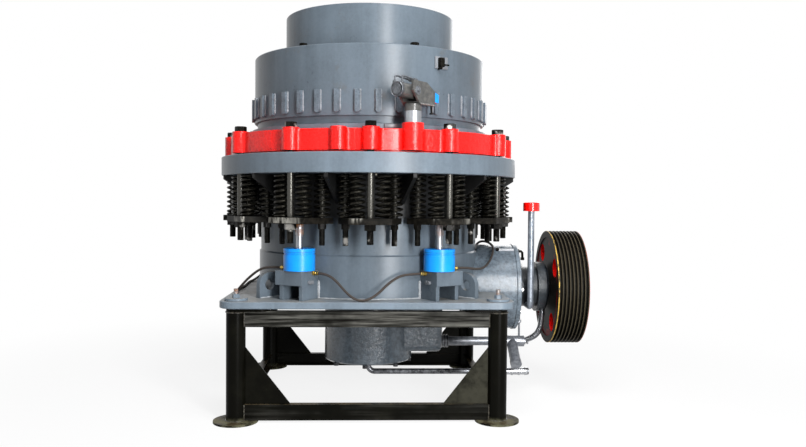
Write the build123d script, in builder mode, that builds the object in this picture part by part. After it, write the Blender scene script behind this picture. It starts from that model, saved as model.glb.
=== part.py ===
from build123d import *
from math import cos, hypot, pi, radians, sin, sqrt, tan
import os

# Spring cone crusher on its pipe-leg stand. Sizes are in millimetres.
# The origin is on the machine's vertical axis at ground level.
# +X points to the belt sheave, +Z up, and the front of the machine faces -Y.
# Angles round the axis are counted from the front, positive towards +X.

# Stand
leg_outset = 52.0
leg_radius = 66.5
leg_wall = 8.0
foot_radius = 154.0
foot_thickness = 14.0
pad_width = 300.0
pad_thickness = 24.0
beam_height = 110.0
beam_flange = 56.0
beam_web = 7.0
top_beam_drop = 24.0
gusset_width = 310.0
gusset_height = 393.0
gusset_thickness = 12.0

# Base plate and main frame
plate_bottom = 794.0
plate_thickness = 48.0
plate_chamfer = 4.0
corner_radius = 111.0
shell_radius = 855.0
shell_wall = 40.0
band_depth = 11.0
band_height = 298.0
washer_radius = 80.0
washer_thickness = 17.0
anchor_radius = 15.0
anchor_standing = 62.0
anchor_nut_flats = 46.0
anchor_nut_height = 24.0
flange_thickness = 139.0
flange_edge = 72.0
flange_chamfer = 4.0
sector_count = 12
rib_thickness = 26.0
rib_foot = 17.0
rib_drop = 209.0
rib_edge = 30.0
rib_setback = 10.0
weld_overlap = 20.0
hub_radius = 349.0
hub_rise = 308.0
hub_top_radius = 300.0
cover_thickness = 52.0
arm_count = 4
hub_shoulder = 60.0
tunnel_radius = 190.0
cover_chamfer = 12.0
arm_width = 90.0
arm_height = 300.0
sump_reach = 587.0
sump_half_width = 200.0
sump_rise = 24.0
sump_round = 60.0
sump_floor_round = 45.0

# Countershaft and sheave
shaft_rise = 6.0
shaft_radius = 65.0
housing_radius = 338.0
housing_wall = 34.0
housing_reach = 294.0
housing_flange_step = 7.0
housing_flange_thickness = 35.0
housing_chamfer = 5.0
nose_radius = 160.0
nose_length = 162.0
seal_radius = 199.0
seal_length = 84.0
seal_chamfer = 20.0
shaft_chamfer = 5.0
sheave_gap = 14.0
sheave_width = 239.0
sheave_radius = 452.0
groove_count = 8
groove_pitch = 28.6
groove_depth = 25.0
groove_top_width = 22.0
groove_bottom_width = 9.0
rim_inner_radius = 400.0
web_recess = 8.0
web_thickness = 60.0
web_hole_count = 4
web_hole_radius = 72.0
web_hole_circle = 318.0
web_hole_start = 57.0
sheave_hub_radius = 130.0
sheave_hub_length = 150.0
shaft_end_standing = 14.0

# Adjustment ring, clamp ring and springs
ring_gap = 14.0
ring_body_inset = 2.0
ring_body_height = 146.0
ring_bore_step = 3.0
seat_inset = 28.0
ring_fillet = 30.0
boss_radius = 61.0
boss_proud = 9.0
bolt_offset = 23.0
bolt_phase = 0.7
bolt_radius = 24.0
bolt_head_flats = 75.0
bolt_head_height = 38.0
bolt_tail = 134.0
nut_flats = 75.0
nut_height = 40.0
bolt_hole_clearance = 4.0
shank_clearance = 0.5
spare_boss_angle = -10.8
spare_boss_radius = 56.0
post_angle = 15.7
post_offset = 2.0
post_boss_radius = 75.0
post_boss_proud = 39.0
post_radius = 57.5
post_height = 79.0
clamp_ledge = 23.0
clamp_height = 47.0
spring_radius = 59.5
spring_bore = 34.0
spring_length = 305.0
spring_row_pitch = 100.0
outer_spring_spread = 4.8
inner_spring_offset = 110.0
inner_spring_spread = 10.0
spring_plate_thickness = 42.0
plate_outer_edge = 59.0
plate_outer_spread = 7.3
plate_inner_edge = 50.0
plate_inner_spread = 13.9
stud_radius = 21.0
stud_tail = 150.0
stud_nut_flats = 50.0
stud_nut_height = 37.0

# Jacks
jack_offset = 123.0
jack_angles = (bolt_phase - 30, bolt_phase + 30, bolt_phase + 150, bolt_phase + 210)
jack_radius = 110.0
jack_rise = 203.0
jack_height = 154.0
jack_bolt_gap = 39.0
jack_groove_height = 110.0
jack_groove_width = 12.0
jack_groove_depth = 4.0
jack_rod_radius = 25.0
jack_rod_depth = 120.0
jack_rod_lift = 4.0
jack_sleeve_radius = 30.0
jack_sleeve_height = 78.0
running_clearance = 0.06
block_height = 101.0
block_nose = 87.0
block_inner_side = 81.0
block_outer_side = 143.0
bracket_rib_thickness = 30.0
bracket_rib_setback = 10.0
bracket_outer_rib = 97.0
ear_angle = 45.0
ear_thickness = 38.0
ear_round = 88.0
ear_hole_radius = 38.0
ear_hole_offset = 153.0
ear_hole_height = 90.0

# Cap, hopper, bowl and head
cap_offset = 50.0
cap_wall = 20.0
cap_gap = 58.0
cap_height = 496.0
cap_chamfer = 5.0
cap_top_thickness = 25.0
skirt_gap = 6.0
skirt_wall = 14.0
skirt_height = 90.0
lug_count = 40
lug_phase = 3.9
lug_width = 37.0
lug_proud = 26.0
lug_rise = 20.0
lug_height = 159.0
lug_round = 14.0
hopper_step = 241.0
hopper_wall = 20.0
hopper_height = 333.0
hopper_chamfer = 3.0
bowl_clearance = 0.3
bowl_rise = 41.0
bowl_drop = 319.0
liner_neck_radius = 420.0
liner_mouth_inset = 122.0
liner_wall = 45.0
liner_drop = 30.0
throat_drop = 10.0
bowl_rim_thickness = 40.0
feed_cone_foot = 20.0
mantle_drop = 90.0
mantle_flare = 10.0
mantle_setback = 120.0
mantle_top_radius = 175.0
mantle_skirt = 70.0
head_neck_radius = 250.0
feed_plate_radius = 200.0
feed_plate_thickness = 60.0
feed_dish = 30.0

# Pusher
swivel_gap = 0.3
swivel_height = 46.0
pusher_direction = 50.5
ram_rise = 129.0
yoke_half_width = 72.0
yoke_wall = 16.0
yoke_floor = 16.0
yoke_back = -95.0
yoke_back_rise = 80.0
yoke_floor_back = -18.0
yoke_front_slope = 59.0
yoke_front_rise = 10.0
yoke_rise = 65.0
ram_body_radius = 49.5
ram_body_back = 181.0
ram_body_front = 154.0
yoke_front = 154.0
trunnion_radius = 18.0
trunnion_place = -45.0
head_length = 108.0
head_half_width = 28.0
head_drop = 49.0
head_back_rise = 38.0
head_nose_rise = 4.0

# Oil pipes and breather
return_rise = 56.0
return_radius = 36.0
coupling_radius = 46.0
coupling_length = 62.0
tee_setback = 68.0
tee_length = 151.0
tee_radius = 45.0
branch_radius = 42.0
branch_run = 220.0
branch_fall = 149.0
branch_cap_radius = 45.0
branch_cap_length = 40.0
branch_setback = 52.0
riser_radius = 24.0
riser_turn_run = 53.0
riser_turn_y = -25.0
riser_kick = 25.0
riser_setin = 52.0
riser_top_y = -80.0
riser_mid_rise = 139.0
riser_bend = 60.0
riser_root = 20.0
drip_setin = 44.0
drip_pipe_radius = 8.0
drip_nut_rise = 151.0
drip_nut_flats = 30.0
drip_nut_thickness = 22.0
inlet_gap = 29.0
inlet_drop = 116.0
inlet_radius = 23.0
inlet_bend = 55.0
inlet_overhang = 206.0
connector_radius = 28.0
connector_length = 195.0
breather_setin = 86.0
breather_y = -232.0
breather_radius = 25.0
breather_inset = 24.0
breather_length = 751.0
breather_cap_radius = 64.0
breather_cap_height = 68.0
breather_cap_round = 8.0
breather_bend = 40.0
breather_seat = 80.0

# Hoses between the jacks, with the points that each one follows from fitting to fitting
hose_radius = 9.0
hose_bend_share = 0.45
fitting_radius = 12.0
fitting_length = 45.0
side_fitting_rise = 13.5
front_fitting_drop = 19.0
front_fitting_setback = 48.0
front_hose_points = [
    (-345.22, -872.7, 1026.0),
    (-292.02, -902.55, 1026.0),
    (-222.0, -930.0, 985.0),
    (-150.0, -962.0, 903.0),
    (-80.0, -986.0, 851.5),
    (-10.0, -992.0, 851.5),
    (62.0, -972.0, 888.0),
    (140.0, -942.0, 965.0),
    (225.0, -915.0, 1017.0),
    (308.83, -898.21, 1026.0),
    (366.44, -864.01, 1026.0),
]
right_hose_points = [
    (632.61, -761.79, 1058.5),
    (697.1, -723.5, 1058.5),
    (777.0, -650.0, 1042.0),
    (850.0, -540.0, 1038.0),
    (910.0, -410.0, 1063.0),
    (960.0, -290.0, 1125.0),
    (985.0, -165.0, 1182.0),
    (955.0, -30.0, 1214.0),
    (905.0, 105.0, 1208.0),
    (880.0, 235.0, 1138.0),
    (862.0, 365.0, 1058.0),
    (820.0, 500.0, 1036.0),
    (755.0, 622.0, 1040.0),
    (683.58, 737.86, 1058.5),
    (613.81, 777.01, 1058.5),
]
left_hose_points = [
    (-613.81, -777.01, 1058.5),
    (-679.22, -740.31, 1058.5),
    (-768.0, -680.0, 1044.0),
    (-860.0, -620.0, 975.0),
    (-935.0, -545.0, 898.0),
    (-980.0, -440.0, 851.5),
    (-990.0, -300.0, 851.5),
    (-976.0, -120.0, 851.5),
    (-988.0, 75.0, 851.5),
    (-996.0, 260.0, 851.5),
    (-975.0, 425.0, 851.5),
    (-930.0, 540.0, 893.0),
    (-858.0, 620.0, 972.0),
    (-775.0, 682.0, 1042.0),
    (-697.1, 723.5, 1058.5),
    (-632.61, 761.79, 1058.5),
]

# Places across the machine that follow from the sizes above
leg_offset = shell_radius + leg_outset
plate_half = leg_offset + corner_radius
band_radius = shell_radius + band_depth
shell_bore = shell_radius - shell_wall
rib_foot_radius = shell_radius + rib_foot
inner_spring_circle = shell_radius + inner_spring_offset
outer_spring_circle = inner_spring_circle + spring_row_pitch
bolt_circle = outer_spring_circle + bolt_offset
flange_radius = bolt_circle + flange_edge
plate_outer_radius = bolt_circle + plate_outer_edge
plate_inner_radius = inner_spring_circle - plate_inner_edge
ring_body_radius = bolt_circle - ring_body_inset
ring_bore_radius = shell_bore - ring_bore_step
seat_radius = ring_body_radius - seat_inset
post_circle = bolt_circle + post_offset
jack_circle = shell_radius + jack_offset
block_reach = jack_circle + block_nose
front_fitting_reach = jack_circle - front_fitting_setback
ear_hole_circle = shell_radius + ear_hole_offset
cap_radius = shell_radius + cap_offset
clamp_radius = cap_radius + clamp_ledge
hopper_radius = cap_radius - hopper_step
bowl_radius = ring_bore_radius - bowl_clearance
liner_mouth_radius = ring_bore_radius - liner_mouth_inset
mantle_bottom_radius = liner_mouth_radius + mantle_flare
housing_flange_start = shell_radius + housing_reach
housing_flange_radius = housing_radius + housing_flange_step
nose_start = housing_flange_start + housing_flange_thickness
seal_start = nose_start + nose_length
seal_end = seal_start + seal_length
sheave_start = seal_end + sheave_gap
web_start = sheave_start + web_recess
shaft_end = web_start + sheave_hub_length + shaft_end_standing
tee_start = nose_start - tee_setback
tee_end = tee_start + tee_length
tee_middle = tee_start + branch_setback
riser_top_x = seal_start + riser_setin
riser_turn_x = riser_top_x - riser_turn_run
drip_pipe_x = nose_start + drip_setin
inlet_end = leg_offset + inlet_overhang
breather_x = nose_start + breather_setin

# Heights that follow from the sizes above
leg_top = plate_bottom - pad_thickness
plate_top = plate_bottom + plate_thickness
band_top = plate_top + band_height
shaft_height = plate_top + shaft_rise
hub_top = plate_top + hub_rise
inlet_height = foot_thickness + beam_height + inlet_gap
cover_bottom = inlet_height + inlet_drop
hub_bottom = cover_bottom + cover_thickness
sump_bottom = hub_bottom + sump_rise
return_height = sump_bottom + return_rise
riser_mid_z = return_height + riser_mid_rise
drip_nut_height = return_height + drip_nut_rise
breather_bottom = shaft_height - nose_radius + breather_inset
breather_top = breather_bottom + breather_length
jack_stack = jack_rise + jack_height + jack_bolt_gap
shell_height = jack_stack + bolt_tail + spring_plate_thickness + spring_length
flange_bottom = plate_top + shell_height
flange_top = flange_bottom + flange_thickness
sector_angle = 360.0 / sector_count
spring_gap_bottom = flange_bottom - spring_length
spring_plate_bottom = spring_gap_bottom - spring_plate_thickness
bolt_end = spring_plate_bottom - bolt_tail
stud_end = spring_plate_bottom - stud_tail
seat_clearance = 0.3
ring_bottom = flange_top + ring_gap
ring_top = ring_bottom + ring_body_height
boss_top = ring_top + boss_proud
post_boss_top = ring_top + post_boss_proud
post_top = post_boss_top + post_height
clamp_top = ring_top + clamp_height
jack_bottom = plate_top + jack_rise
jack_top = jack_bottom + jack_height
side_fitting_height = jack_bottom + side_fitting_rise
front_fitting_height = jack_bottom - front_fitting_drop
cap_bottom = clamp_top + cap_gap
cap_top = cap_bottom + cap_height
lug_bottom = cap_bottom + lug_rise
lug_top = lug_bottom + lug_height
hopper_top = cap_top + hopper_height
bowl_bottom = flange_bottom + bowl_rise
bowl_top = cap_top - bowl_drop
liner_bottom = bowl_bottom - liner_drop
liner_throat = bowl_top - throat_drop
mantle_bottom = liner_bottom - mantle_drop
mantle_top = bowl_top - mantle_setback
swivel_bottom = post_top + swivel_gap
swivel_top = swivel_bottom + swivel_height
pusher_axis_height = post_top + ram_rise
yoke_front_top = pusher_axis_height + yoke_front_rise
yoke_top = pusher_axis_height + yoke_rise
head_bottom = pusher_axis_height - head_drop
head_back_top = pusher_axis_height + head_back_rise
head_nose_top = pusher_axis_height + head_nose_rise


def around(radius, angle):
    """Place on a circle round the machine's axis, angle from the front towards +X."""
    return radius * sin(radians(angle)), -radius * cos(radians(angle))


def cross_plane(turn):
    """Upright plane whose normal is +X before it is turned about the vertical axis."""
    a = radians(turn)
    return Plane(origin=(0, 0, 0), x_dir=(-sin(a), cos(a), 0), z_dir=(cos(a), sin(a), 0))


def radial_plane(angle):
    """Upright plane through the axis whose x runs outwards at this angle from the front."""
    a = radians(angle)
    return Plane(origin=(0, 0, 0), x_dir=(sin(a), -cos(a), 0), z_dir=(-cos(a), -sin(a), 0))


def hex_radius(flats):
    """Corner radius of a hexagon with this width across flats."""
    return flats / sqrt(3)


os.makedirs("parts", exist_ok=True)


with BuildPart() as legs:
    leg_grid = GridLocations(2 * leg_offset, 2 * leg_offset, 2, 2)
    pad_grid_pitch = 2 * (leg_offset + leg_radius) - pad_width
    with BuildSketch(Plane.XY):
        with leg_grid:
            Circle(foot_radius)
    extrude(amount=foot_thickness)
    with BuildSketch(Plane.XY.offset(foot_thickness)):
        with leg_grid:
            Circle(leg_radius)
            Circle(leg_radius - leg_wall, mode=Mode.SUBTRACT)
    extrude(amount=leg_top - foot_thickness)
    with BuildSketch(Plane.XY.offset(leg_top)):
        with GridLocations(pad_grid_pitch, pad_grid_pitch, 2, 2):
            RectangleRounded(pad_width, pad_width, leg_radius)
    extrude(amount=pad_thickness)
legs.part.label = "legs"
export_step(legs.part, "parts/legs.step")


def beam_section(turn, bottom):
    """Channel section of a beam between two legs, its web outwards."""
    web_face = -leg_offset - beam_flange / 2
    with BuildSketch(cross_plane(turn)) as section:
        with Locations((web_face, bottom)):
            Rectangle(beam_flange, beam_height, align=(Align.MIN, Align.MIN))
        with Locations((web_face + beam_web, bottom + beam_web)):
            Rectangle(
                beam_flange - beam_web,
                beam_height - 2 * beam_web,
                align=(Align.MIN, Align.MIN),
                mode=Mode.SUBTRACT,
            )
    return section.sketch


def make_beams(name, turns, bottom):
    """Beams at one height, their ends cut to the pipe legs."""
    with BuildPart() as beams:
        for turn in turns:
            extrude(beam_section(turn, bottom), amount=leg_offset, both=True)
        with BuildSketch(Plane.XY.offset(bottom)):
            with GridLocations(2 * leg_offset, 2 * leg_offset, 2, 2):
                Circle(leg_radius)
        extrude(amount=beam_height, mode=Mode.SUBTRACT)
    beams.part.label = name
    export_step(beams.part, f"parts/{name}.step")


side_turns = (0, 90, 180, 270)
top_beam_turns = (0, 180, 270)
top_beam_bottom = leg_top - top_beam_drop + pad_thickness - beam_height
make_beams("bottom_beams", side_turns, foot_thickness)
make_beams("top_beams", top_beam_turns, top_beam_bottom)


gusset_foot = foot_thickness + beam_height
gusset_side = leg_offset - leg_radius
with BuildPart() as gussets:
    for gusset_turn in side_turns:
        gusset_plane = cross_plane(gusset_turn - 90).offset(-leg_offset)
        with BuildSketch(gusset_plane):
            Polygon(
                (gusset_side, gusset_foot),
                (gusset_side, gusset_foot + gusset_height),
                (gusset_side - gusset_width, gusset_foot),
                align=None,
            )
            mirror(about=Plane.YZ)
        extrude(amount=gusset_thickness / 2, both=True)
gussets.part.label = "gussets"
export_step(gussets.part, "parts/gussets.step")


with BuildPart() as base_plate:
    with BuildSketch(Plane.XY.offset(plate_bottom)):
        RectangleRounded(2 * plate_half, 2 * plate_half, corner_radius)
        Circle(shell_bore, mode=Mode.SUBTRACT)
    extrude(amount=plate_thickness)
    plate_outline = base_plate.edges().filter_by(Plane.XY).filter_by(
        lambda edge: edge.geom_type == GeomType.LINE or edge.radius == corner_radius
    )
    chamfer(plate_outline, plate_chamfer)
    with BuildSketch(Plane.YZ):
        with Locations((0, shaft_height)):
            Circle(housing_radius)
    extrude(amount=2 * plate_half, mode=Mode.SUBTRACT)
base_plate.part.label = "base_plate"
export_step(base_plate.part, "parts/base_plate.step")


with BuildPart() as hold_downs:
    corner_grid = GridLocations(2 * leg_offset, 2 * leg_offset, 2, 2)
    with BuildSketch(Plane.XY.offset(plate_top)):
        with corner_grid:
            Circle(washer_radius)
    extrude(amount=washer_thickness)
    with BuildSketch(Plane.XY.offset(plate_top + washer_thickness)):
        with corner_grid:
            RegularPolygon(hex_radius(anchor_nut_flats), 6)
    extrude(amount=anchor_nut_height)
    with BuildSketch(Plane.XY.offset(plate_top + washer_thickness)):
        with corner_grid:
            Circle(anchor_radius)
    extrude(amount=anchor_standing)
hold_downs.part.label = "hold_downs"
export_step(hold_downs.part, "parts/hold_downs.step")


with BuildPart() as frame_shell:
    with BuildSketch(Plane.XZ):
        Polygon(
            (shell_bore, plate_top),
            (band_radius, plate_top),
            (band_radius, band_top),
            (shell_radius, band_top + band_depth),
            (shell_radius, flange_bottom),
            (shell_bore, flange_bottom),
            align=None,
        )
    revolve(axis=Axis.Z)
    with BuildSketch(Plane.YZ):
        with Locations((0, shaft_height)):
            Circle(housing_radius - housing_wall)
    extrude(amount=2 * shell_radius, mode=Mode.SUBTRACT)
frame_shell.part.label = "frame_shell"
export_step(frame_shell.part, "parts/frame_shell.step")


with BuildPart() as main_flange:
    with BuildSketch(Plane.XY.offset(flange_bottom)):
        Circle(flange_radius)
        Circle(shell_bore, mode=Mode.SUBTRACT)
        with PolarLocations(bolt_circle, sector_count, start_angle=bolt_phase - 90):
            Circle(bolt_radius + bolt_hole_clearance, mode=Mode.SUBTRACT)
        for side in (-1, 1):
            stud_start = bolt_phase - 90 + side * inner_spring_spread
            with PolarLocations(inner_spring_circle, sector_count, start_angle=stud_start):
                Circle(stud_radius + bolt_hole_clearance, mode=Mode.SUBTRACT)
    extrude(amount=flange_thickness)
    flange_rims = main_flange.edges().filter_by(GeomType.CIRCLE).sort_by(SortBy.RADIUS)[-2:]
    chamfer(flange_rims, flange_chamfer)
main_flange.part.label = "main_flange"
export_step(main_flange.part, "parts/main_flange.step")


with BuildPart() as flange_ribs:
    for rib_index in range(sector_count):
        with BuildSketch(radial_plane(bolt_phase + (rib_index + 0.5) * sector_angle)):
            Polygon(
                (shell_radius - weld_overlap, flange_bottom),
                (flange_radius - rib_setback, flange_bottom),
                (flange_radius - rib_setback, flange_bottom - rib_edge),
                (rib_foot_radius, flange_bottom - rib_drop),
                (shell_radius - weld_overlap, flange_bottom - rib_drop),
                align=None,
            )
        extrude(amount=rib_thickness / 2, both=True)
    with BuildSketch(Plane.XY.offset(flange_bottom - rib_drop)):
        Circle(shell_radius)
    extrude(amount=rib_drop, mode=Mode.SUBTRACT)
flange_ribs.part.label = "flange_ribs"
export_step(flange_ribs.part, "parts/flange_ribs.step")


with BuildPart() as frame_hub:
    with BuildSketch(Plane.XY.offset(sump_bottom)):
        with Locations((sump_reach / 2, 0)):
            RectangleRounded(sump_reach, 2 * sump_half_width, sump_round)
    extrude(amount=shaft_height - sump_bottom)
    fillet(frame_hub.edges().group_by(Axis.Z)[0], sump_floor_round)
    with BuildSketch(Plane.XZ):
        Polygon(
            (0, hub_bottom),
            (hub_radius, hub_bottom),
            (hub_radius, hub_top - hub_shoulder),
            (hub_top_radius, hub_top),
            (0, hub_top),
            align=None,
        )
    revolve(axis=Axis.Z)
    with BuildSketch(Plane.XY.offset(plate_top)):
        with PolarLocations(shell_bore / 2, arm_count, start_angle=180 / arm_count):
            Rectangle(shell_bore, arm_width)
    extrude(amount=arm_height)
    with BuildSketch(Plane.YZ):
        with Locations((0, shaft_height)):
            Circle(tunnel_radius)
    extrude(amount=shell_radius)
    with BuildSketch(Plane.XY.offset(hub_bottom)):
        Circle(2 * shell_radius)
        Circle(shell_bore, mode=Mode.SUBTRACT)
    extrude(amount=hub_top, mode=Mode.SUBTRACT)
frame_hub.part.label = "frame_hub"
export_step(frame_hub.part, "parts/frame_hub.step")


with BuildPart() as hub_cover:
    with BuildSketch(Plane.XY.offset(cover_bottom)):
        Circle(hub_radius)
    extrude(amount=cover_thickness)
    chamfer(hub_cover.edges().group_by(Axis.Z)[0], cover_chamfer)
hub_cover.part.label = "hub_cover"
export_step(hub_cover.part, "parts/hub_cover.step")


with BuildPart() as countershaft_housing:
    with BuildSketch(Plane.YZ):
        with Locations((0, shaft_height)):
            Circle(housing_radius)
    extrude(amount=housing_flange_start)
    with BuildSketch(Plane.YZ.offset(housing_flange_start)):
        with Locations((0, shaft_height)):
            Circle(housing_flange_radius)
    extrude(amount=housing_flange_thickness)
    housing_rims = countershaft_housing.edges().filter_by(GeomType.CIRCLE).sort_by(SortBy.RADIUS)[-2:]
    chamfer(housing_rims, housing_chamfer)
    with BuildSketch(Plane.YZ):
        with Locations((0, shaft_height)):
            Circle(housing_radius - housing_wall)
    extrude(amount=housing_flange_start, mode=Mode.SUBTRACT)
    with BuildSketch(Plane.XY):
        Circle(shell_bore)
    extrude(amount=plate_top, mode=Mode.SUBTRACT)
    with BuildSketch(Plane.XY.offset(plate_top)):
        Circle(band_radius)
    extrude(amount=2 * housing_radius, mode=Mode.SUBTRACT)
    with BuildSketch(Plane.YZ.offset(housing_flange_start)):
        with Locations((0, shaft_height)):
            Circle(shaft_radius + running_clearance)
    extrude(amount=housing_flange_thickness, mode=Mode.SUBTRACT)
countershaft_housing.part.label = "countershaft_housing"
export_step(countershaft_housing.part, "parts/countershaft_housing.step")


with BuildPart() as bearing_cap:
    with BuildSketch(Plane.YZ.offset(nose_start)):
        with Locations((0, shaft_height)):
            Circle(nose_radius)
    extrude(amount=nose_length)
    with BuildSketch(Plane.YZ.offset(seal_start)):
        with Locations((0, shaft_height)):
            Circle(seal_radius)
    extrude(amount=seal_length)
    chamfer(bearing_cap.edges().group_by(Axis.X)[-1], seal_chamfer)
    with BuildSketch(Plane.YZ.offset(nose_start)):
        with Locations((0, shaft_height)):
            Circle(shaft_radius + running_clearance)
    extrude(amount=nose_length + seal_length, mode=Mode.SUBTRACT)
bearing_cap.part.label = "bearing_cap"
export_step(bearing_cap.part, "parts/bearing_cap.step")


with BuildPart() as countershaft:
    with BuildSketch(Plane.YZ.offset(housing_flange_start)):
        with Locations((0, shaft_height)):
            Circle(shaft_radius)
    extrude(amount=shaft_end - housing_flange_start)
    chamfer(countershaft.edges().group_by(Axis.X)[-1], shaft_chamfer)
countershaft.part.label = "countershaft"
export_step(countershaft.part, "parts/countershaft.step")


def groove_corners(index):
    """Corners of one belt groove in the rim, from its left lip to its right lip."""
    groove_span = (groove_count - 1) * groove_pitch
    middle = sheave_start + (sheave_width - groove_span) / 2 + index * groove_pitch
    floor = sheave_radius - groove_depth
    return [
        (middle - groove_top_width / 2, sheave_radius),
        (middle - groove_bottom_width / 2, floor),
        (middle + groove_bottom_width / 2, floor),
        (middle + groove_top_width / 2, sheave_radius),
    ]


rim_outline = [(sheave_start, sheave_radius)]
for groove_index in range(groove_count):
    rim_outline += groove_corners(groove_index)
rim_outline.append((sheave_start + sheave_width, sheave_radius))
wheel_outline = rim_outline + [
    (sheave_start + sheave_width, rim_inner_radius),
    (web_start + web_thickness, rim_inner_radius),
    (web_start + web_thickness, sheave_hub_radius),
    (web_start + sheave_hub_length, sheave_hub_radius),
    (web_start + sheave_hub_length, shaft_radius),
    (web_start, shaft_radius),
    (web_start, rim_inner_radius),
    (sheave_start, rim_inner_radius),
]
sheave_plane = Plane(origin=(0, 0, shaft_height), x_dir=(1, 0, 0), z_dir=(0, -1, 0))
shaft_axis = Axis((0, 0, shaft_height), (1, 0, 0))
with BuildPart() as drive_sheave:
    with BuildSketch(sheave_plane):
        Polygon(*wheel_outline, align=None)
    revolve(axis=shaft_axis)
    with BuildSketch(Plane.YZ.offset(web_start)):
        with Locations((0, shaft_height)):
            with PolarLocations(web_hole_circle, web_hole_count, start_angle=web_hole_start):
                Circle(web_hole_radius)
    extrude(amount=web_thickness, mode=Mode.SUBTRACT)
drive_sheave.part.label = "drive_sheave"
export_step(drive_sheave.part, "parts/drive_sheave.step")


with BuildPart() as adjustment_ring:
    boss_places = PolarLocations(bolt_circle, sector_count, start_angle=bolt_phase - 90)
    with BuildSketch(Plane.XY.offset(ring_bottom)):
        Circle(ring_body_radius)
        with boss_places:
            Circle(boss_radius)
        with Locations(around(bolt_circle, spare_boss_angle)):
            Circle(spare_boss_radius)
        with Locations(around(post_circle, post_angle)):
            Circle(post_boss_radius)
    extrude(amount=ring_body_height)
    fillet(adjustment_ring.edges().filter_by(Axis.Z), ring_fillet)
    with BuildSketch(Plane.XY.offset(ring_top)):
        with boss_places:
            Circle(boss_radius)
        with Locations(around(bolt_circle, spare_boss_angle)):
            Circle(spare_boss_radius)
    extrude(amount=boss_proud)
    with BuildSketch(Plane.XY.offset(ring_top)):
        with Locations(around(post_circle, post_angle)):
            Circle(post_boss_radius)
    extrude(amount=post_boss_proud)
    with BuildSketch(Plane.XY.offset(flange_top + seat_clearance)):
        Circle(seat_radius)
    extrude(amount=ring_gap - seat_clearance)
    with BuildSketch(Plane.XY.offset(flange_top)):
        Circle(ring_bore_radius)
    extrude(amount=ring_top - flange_top, mode=Mode.SUBTRACT)
    with BuildSketch(Plane.XY.offset(flange_top)):
        with boss_places:
            Circle(bolt_radius + shank_clearance)
    extrude(amount=boss_top - flange_top, mode=Mode.SUBTRACT)
adjustment_ring.part.label = "adjustment_ring"
export_step(adjustment_ring.part, "parts/adjustment_ring.step")


with BuildPart() as clamp_ring:
    with BuildSketch(Plane.XY.offset(ring_top)):
        Circle(clamp_radius)
        Circle(ring_bore_radius, mode=Mode.SUBTRACT)
    extrude(amount=clamp_height)
clamp_ring.part.label = "clamp_ring"
export_step(clamp_ring.part, "parts/clamp_ring.step")


with BuildPart() as main_bolts:
    bolt_places = PolarLocations(bolt_circle, sector_count, start_angle=bolt_phase - 90)
    with BuildSketch(Plane.XY.offset(boss_top)):
        with bolt_places:
            RegularPolygon(hex_radius(bolt_head_flats), 6)
    extrude(amount=bolt_head_height)
    with BuildSketch(Plane.XY.offset(bolt_end)):
        with bolt_places:
            Circle(bolt_radius)
    extrude(amount=boss_top - bolt_end)
    with BuildSketch(Plane.XY.offset(spring_plate_bottom - nut_height)):
        with bolt_places:
            RegularPolygon(hex_radius(nut_flats), 6)
    extrude(amount=nut_height)
main_bolts.part.label = "main_bolts"
export_step(main_bolts.part, "parts/main_bolts.step")


with BuildPart() as spring_studs:
    for side in (-1, 1):
        stud_start = bolt_phase - 90 + side * inner_spring_spread
        stud_places = PolarLocations(inner_spring_circle, sector_count, start_angle=stud_start)
        with BuildSketch(Plane.XY.offset(stud_end)):
            with stud_places:
                Circle(stud_radius)
        extrude(amount=flange_top + seat_clearance - stud_end)
        with BuildSketch(Plane.XY.offset(spring_plate_bottom - stud_nut_height)):
            with stud_places:
                RegularPolygon(hex_radius(stud_nut_flats), 6)
        extrude(amount=stud_nut_height)
spring_studs.part.label = "spring_studs"
export_step(spring_studs.part, "parts/spring_studs.step")


def plate_corner(radius, spread, turn):
    """Corner of a spring plate at a radius, given as an angle off its own sector."""
    return around(radius, turn + spread)


with BuildPart() as spring_plates:
    for plate_index in range(sector_count):
        plate_turn = bolt_phase + plate_index * sector_angle
        with BuildSketch(Plane.XY.offset(spring_plate_bottom)):
            Polygon(
                plate_corner(plate_outer_radius, -plate_outer_spread, plate_turn),
                plate_corner(plate_outer_radius, plate_outer_spread, plate_turn),
                plate_corner(plate_inner_radius, plate_inner_spread, plate_turn),
                plate_corner(plate_inner_radius, -plate_inner_spread, plate_turn),
                align=None,
            )
            with Locations(around(bolt_circle, plate_turn)):
                Circle(bolt_radius + shank_clearance, mode=Mode.SUBTRACT)
            for side in (-1, 1):
                stud_turn = plate_turn + side * inner_spring_spread
                with Locations(around(inner_spring_circle, stud_turn)):
                    Circle(stud_radius + shank_clearance, mode=Mode.SUBTRACT)
        extrude(amount=spring_plate_thickness)
spring_plates.part.label = "spring_plates"
export_step(spring_plates.part, "parts/spring_plates.step")


with BuildPart() as coil_springs:
    with BuildSketch(Plane.XY.offset(spring_gap_bottom)):
        for side in (-1, 1):
            outer_start = bolt_phase - 90 + side * outer_spring_spread
            inner_start = bolt_phase - 90 + side * inner_spring_spread
            with PolarLocations(outer_spring_circle, sector_count, start_angle=outer_start):
                Circle(spring_radius)
            with PolarLocations(inner_spring_circle, sector_count, start_angle=inner_start):
                Circle(spring_radius)
                Circle(spring_bore, mode=Mode.SUBTRACT)
    extrude(amount=flange_bottom - spring_gap_bottom)
coil_springs.part.label = "coil_springs"
export_step(coil_springs.part, "parts/coil_springs.step")


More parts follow.
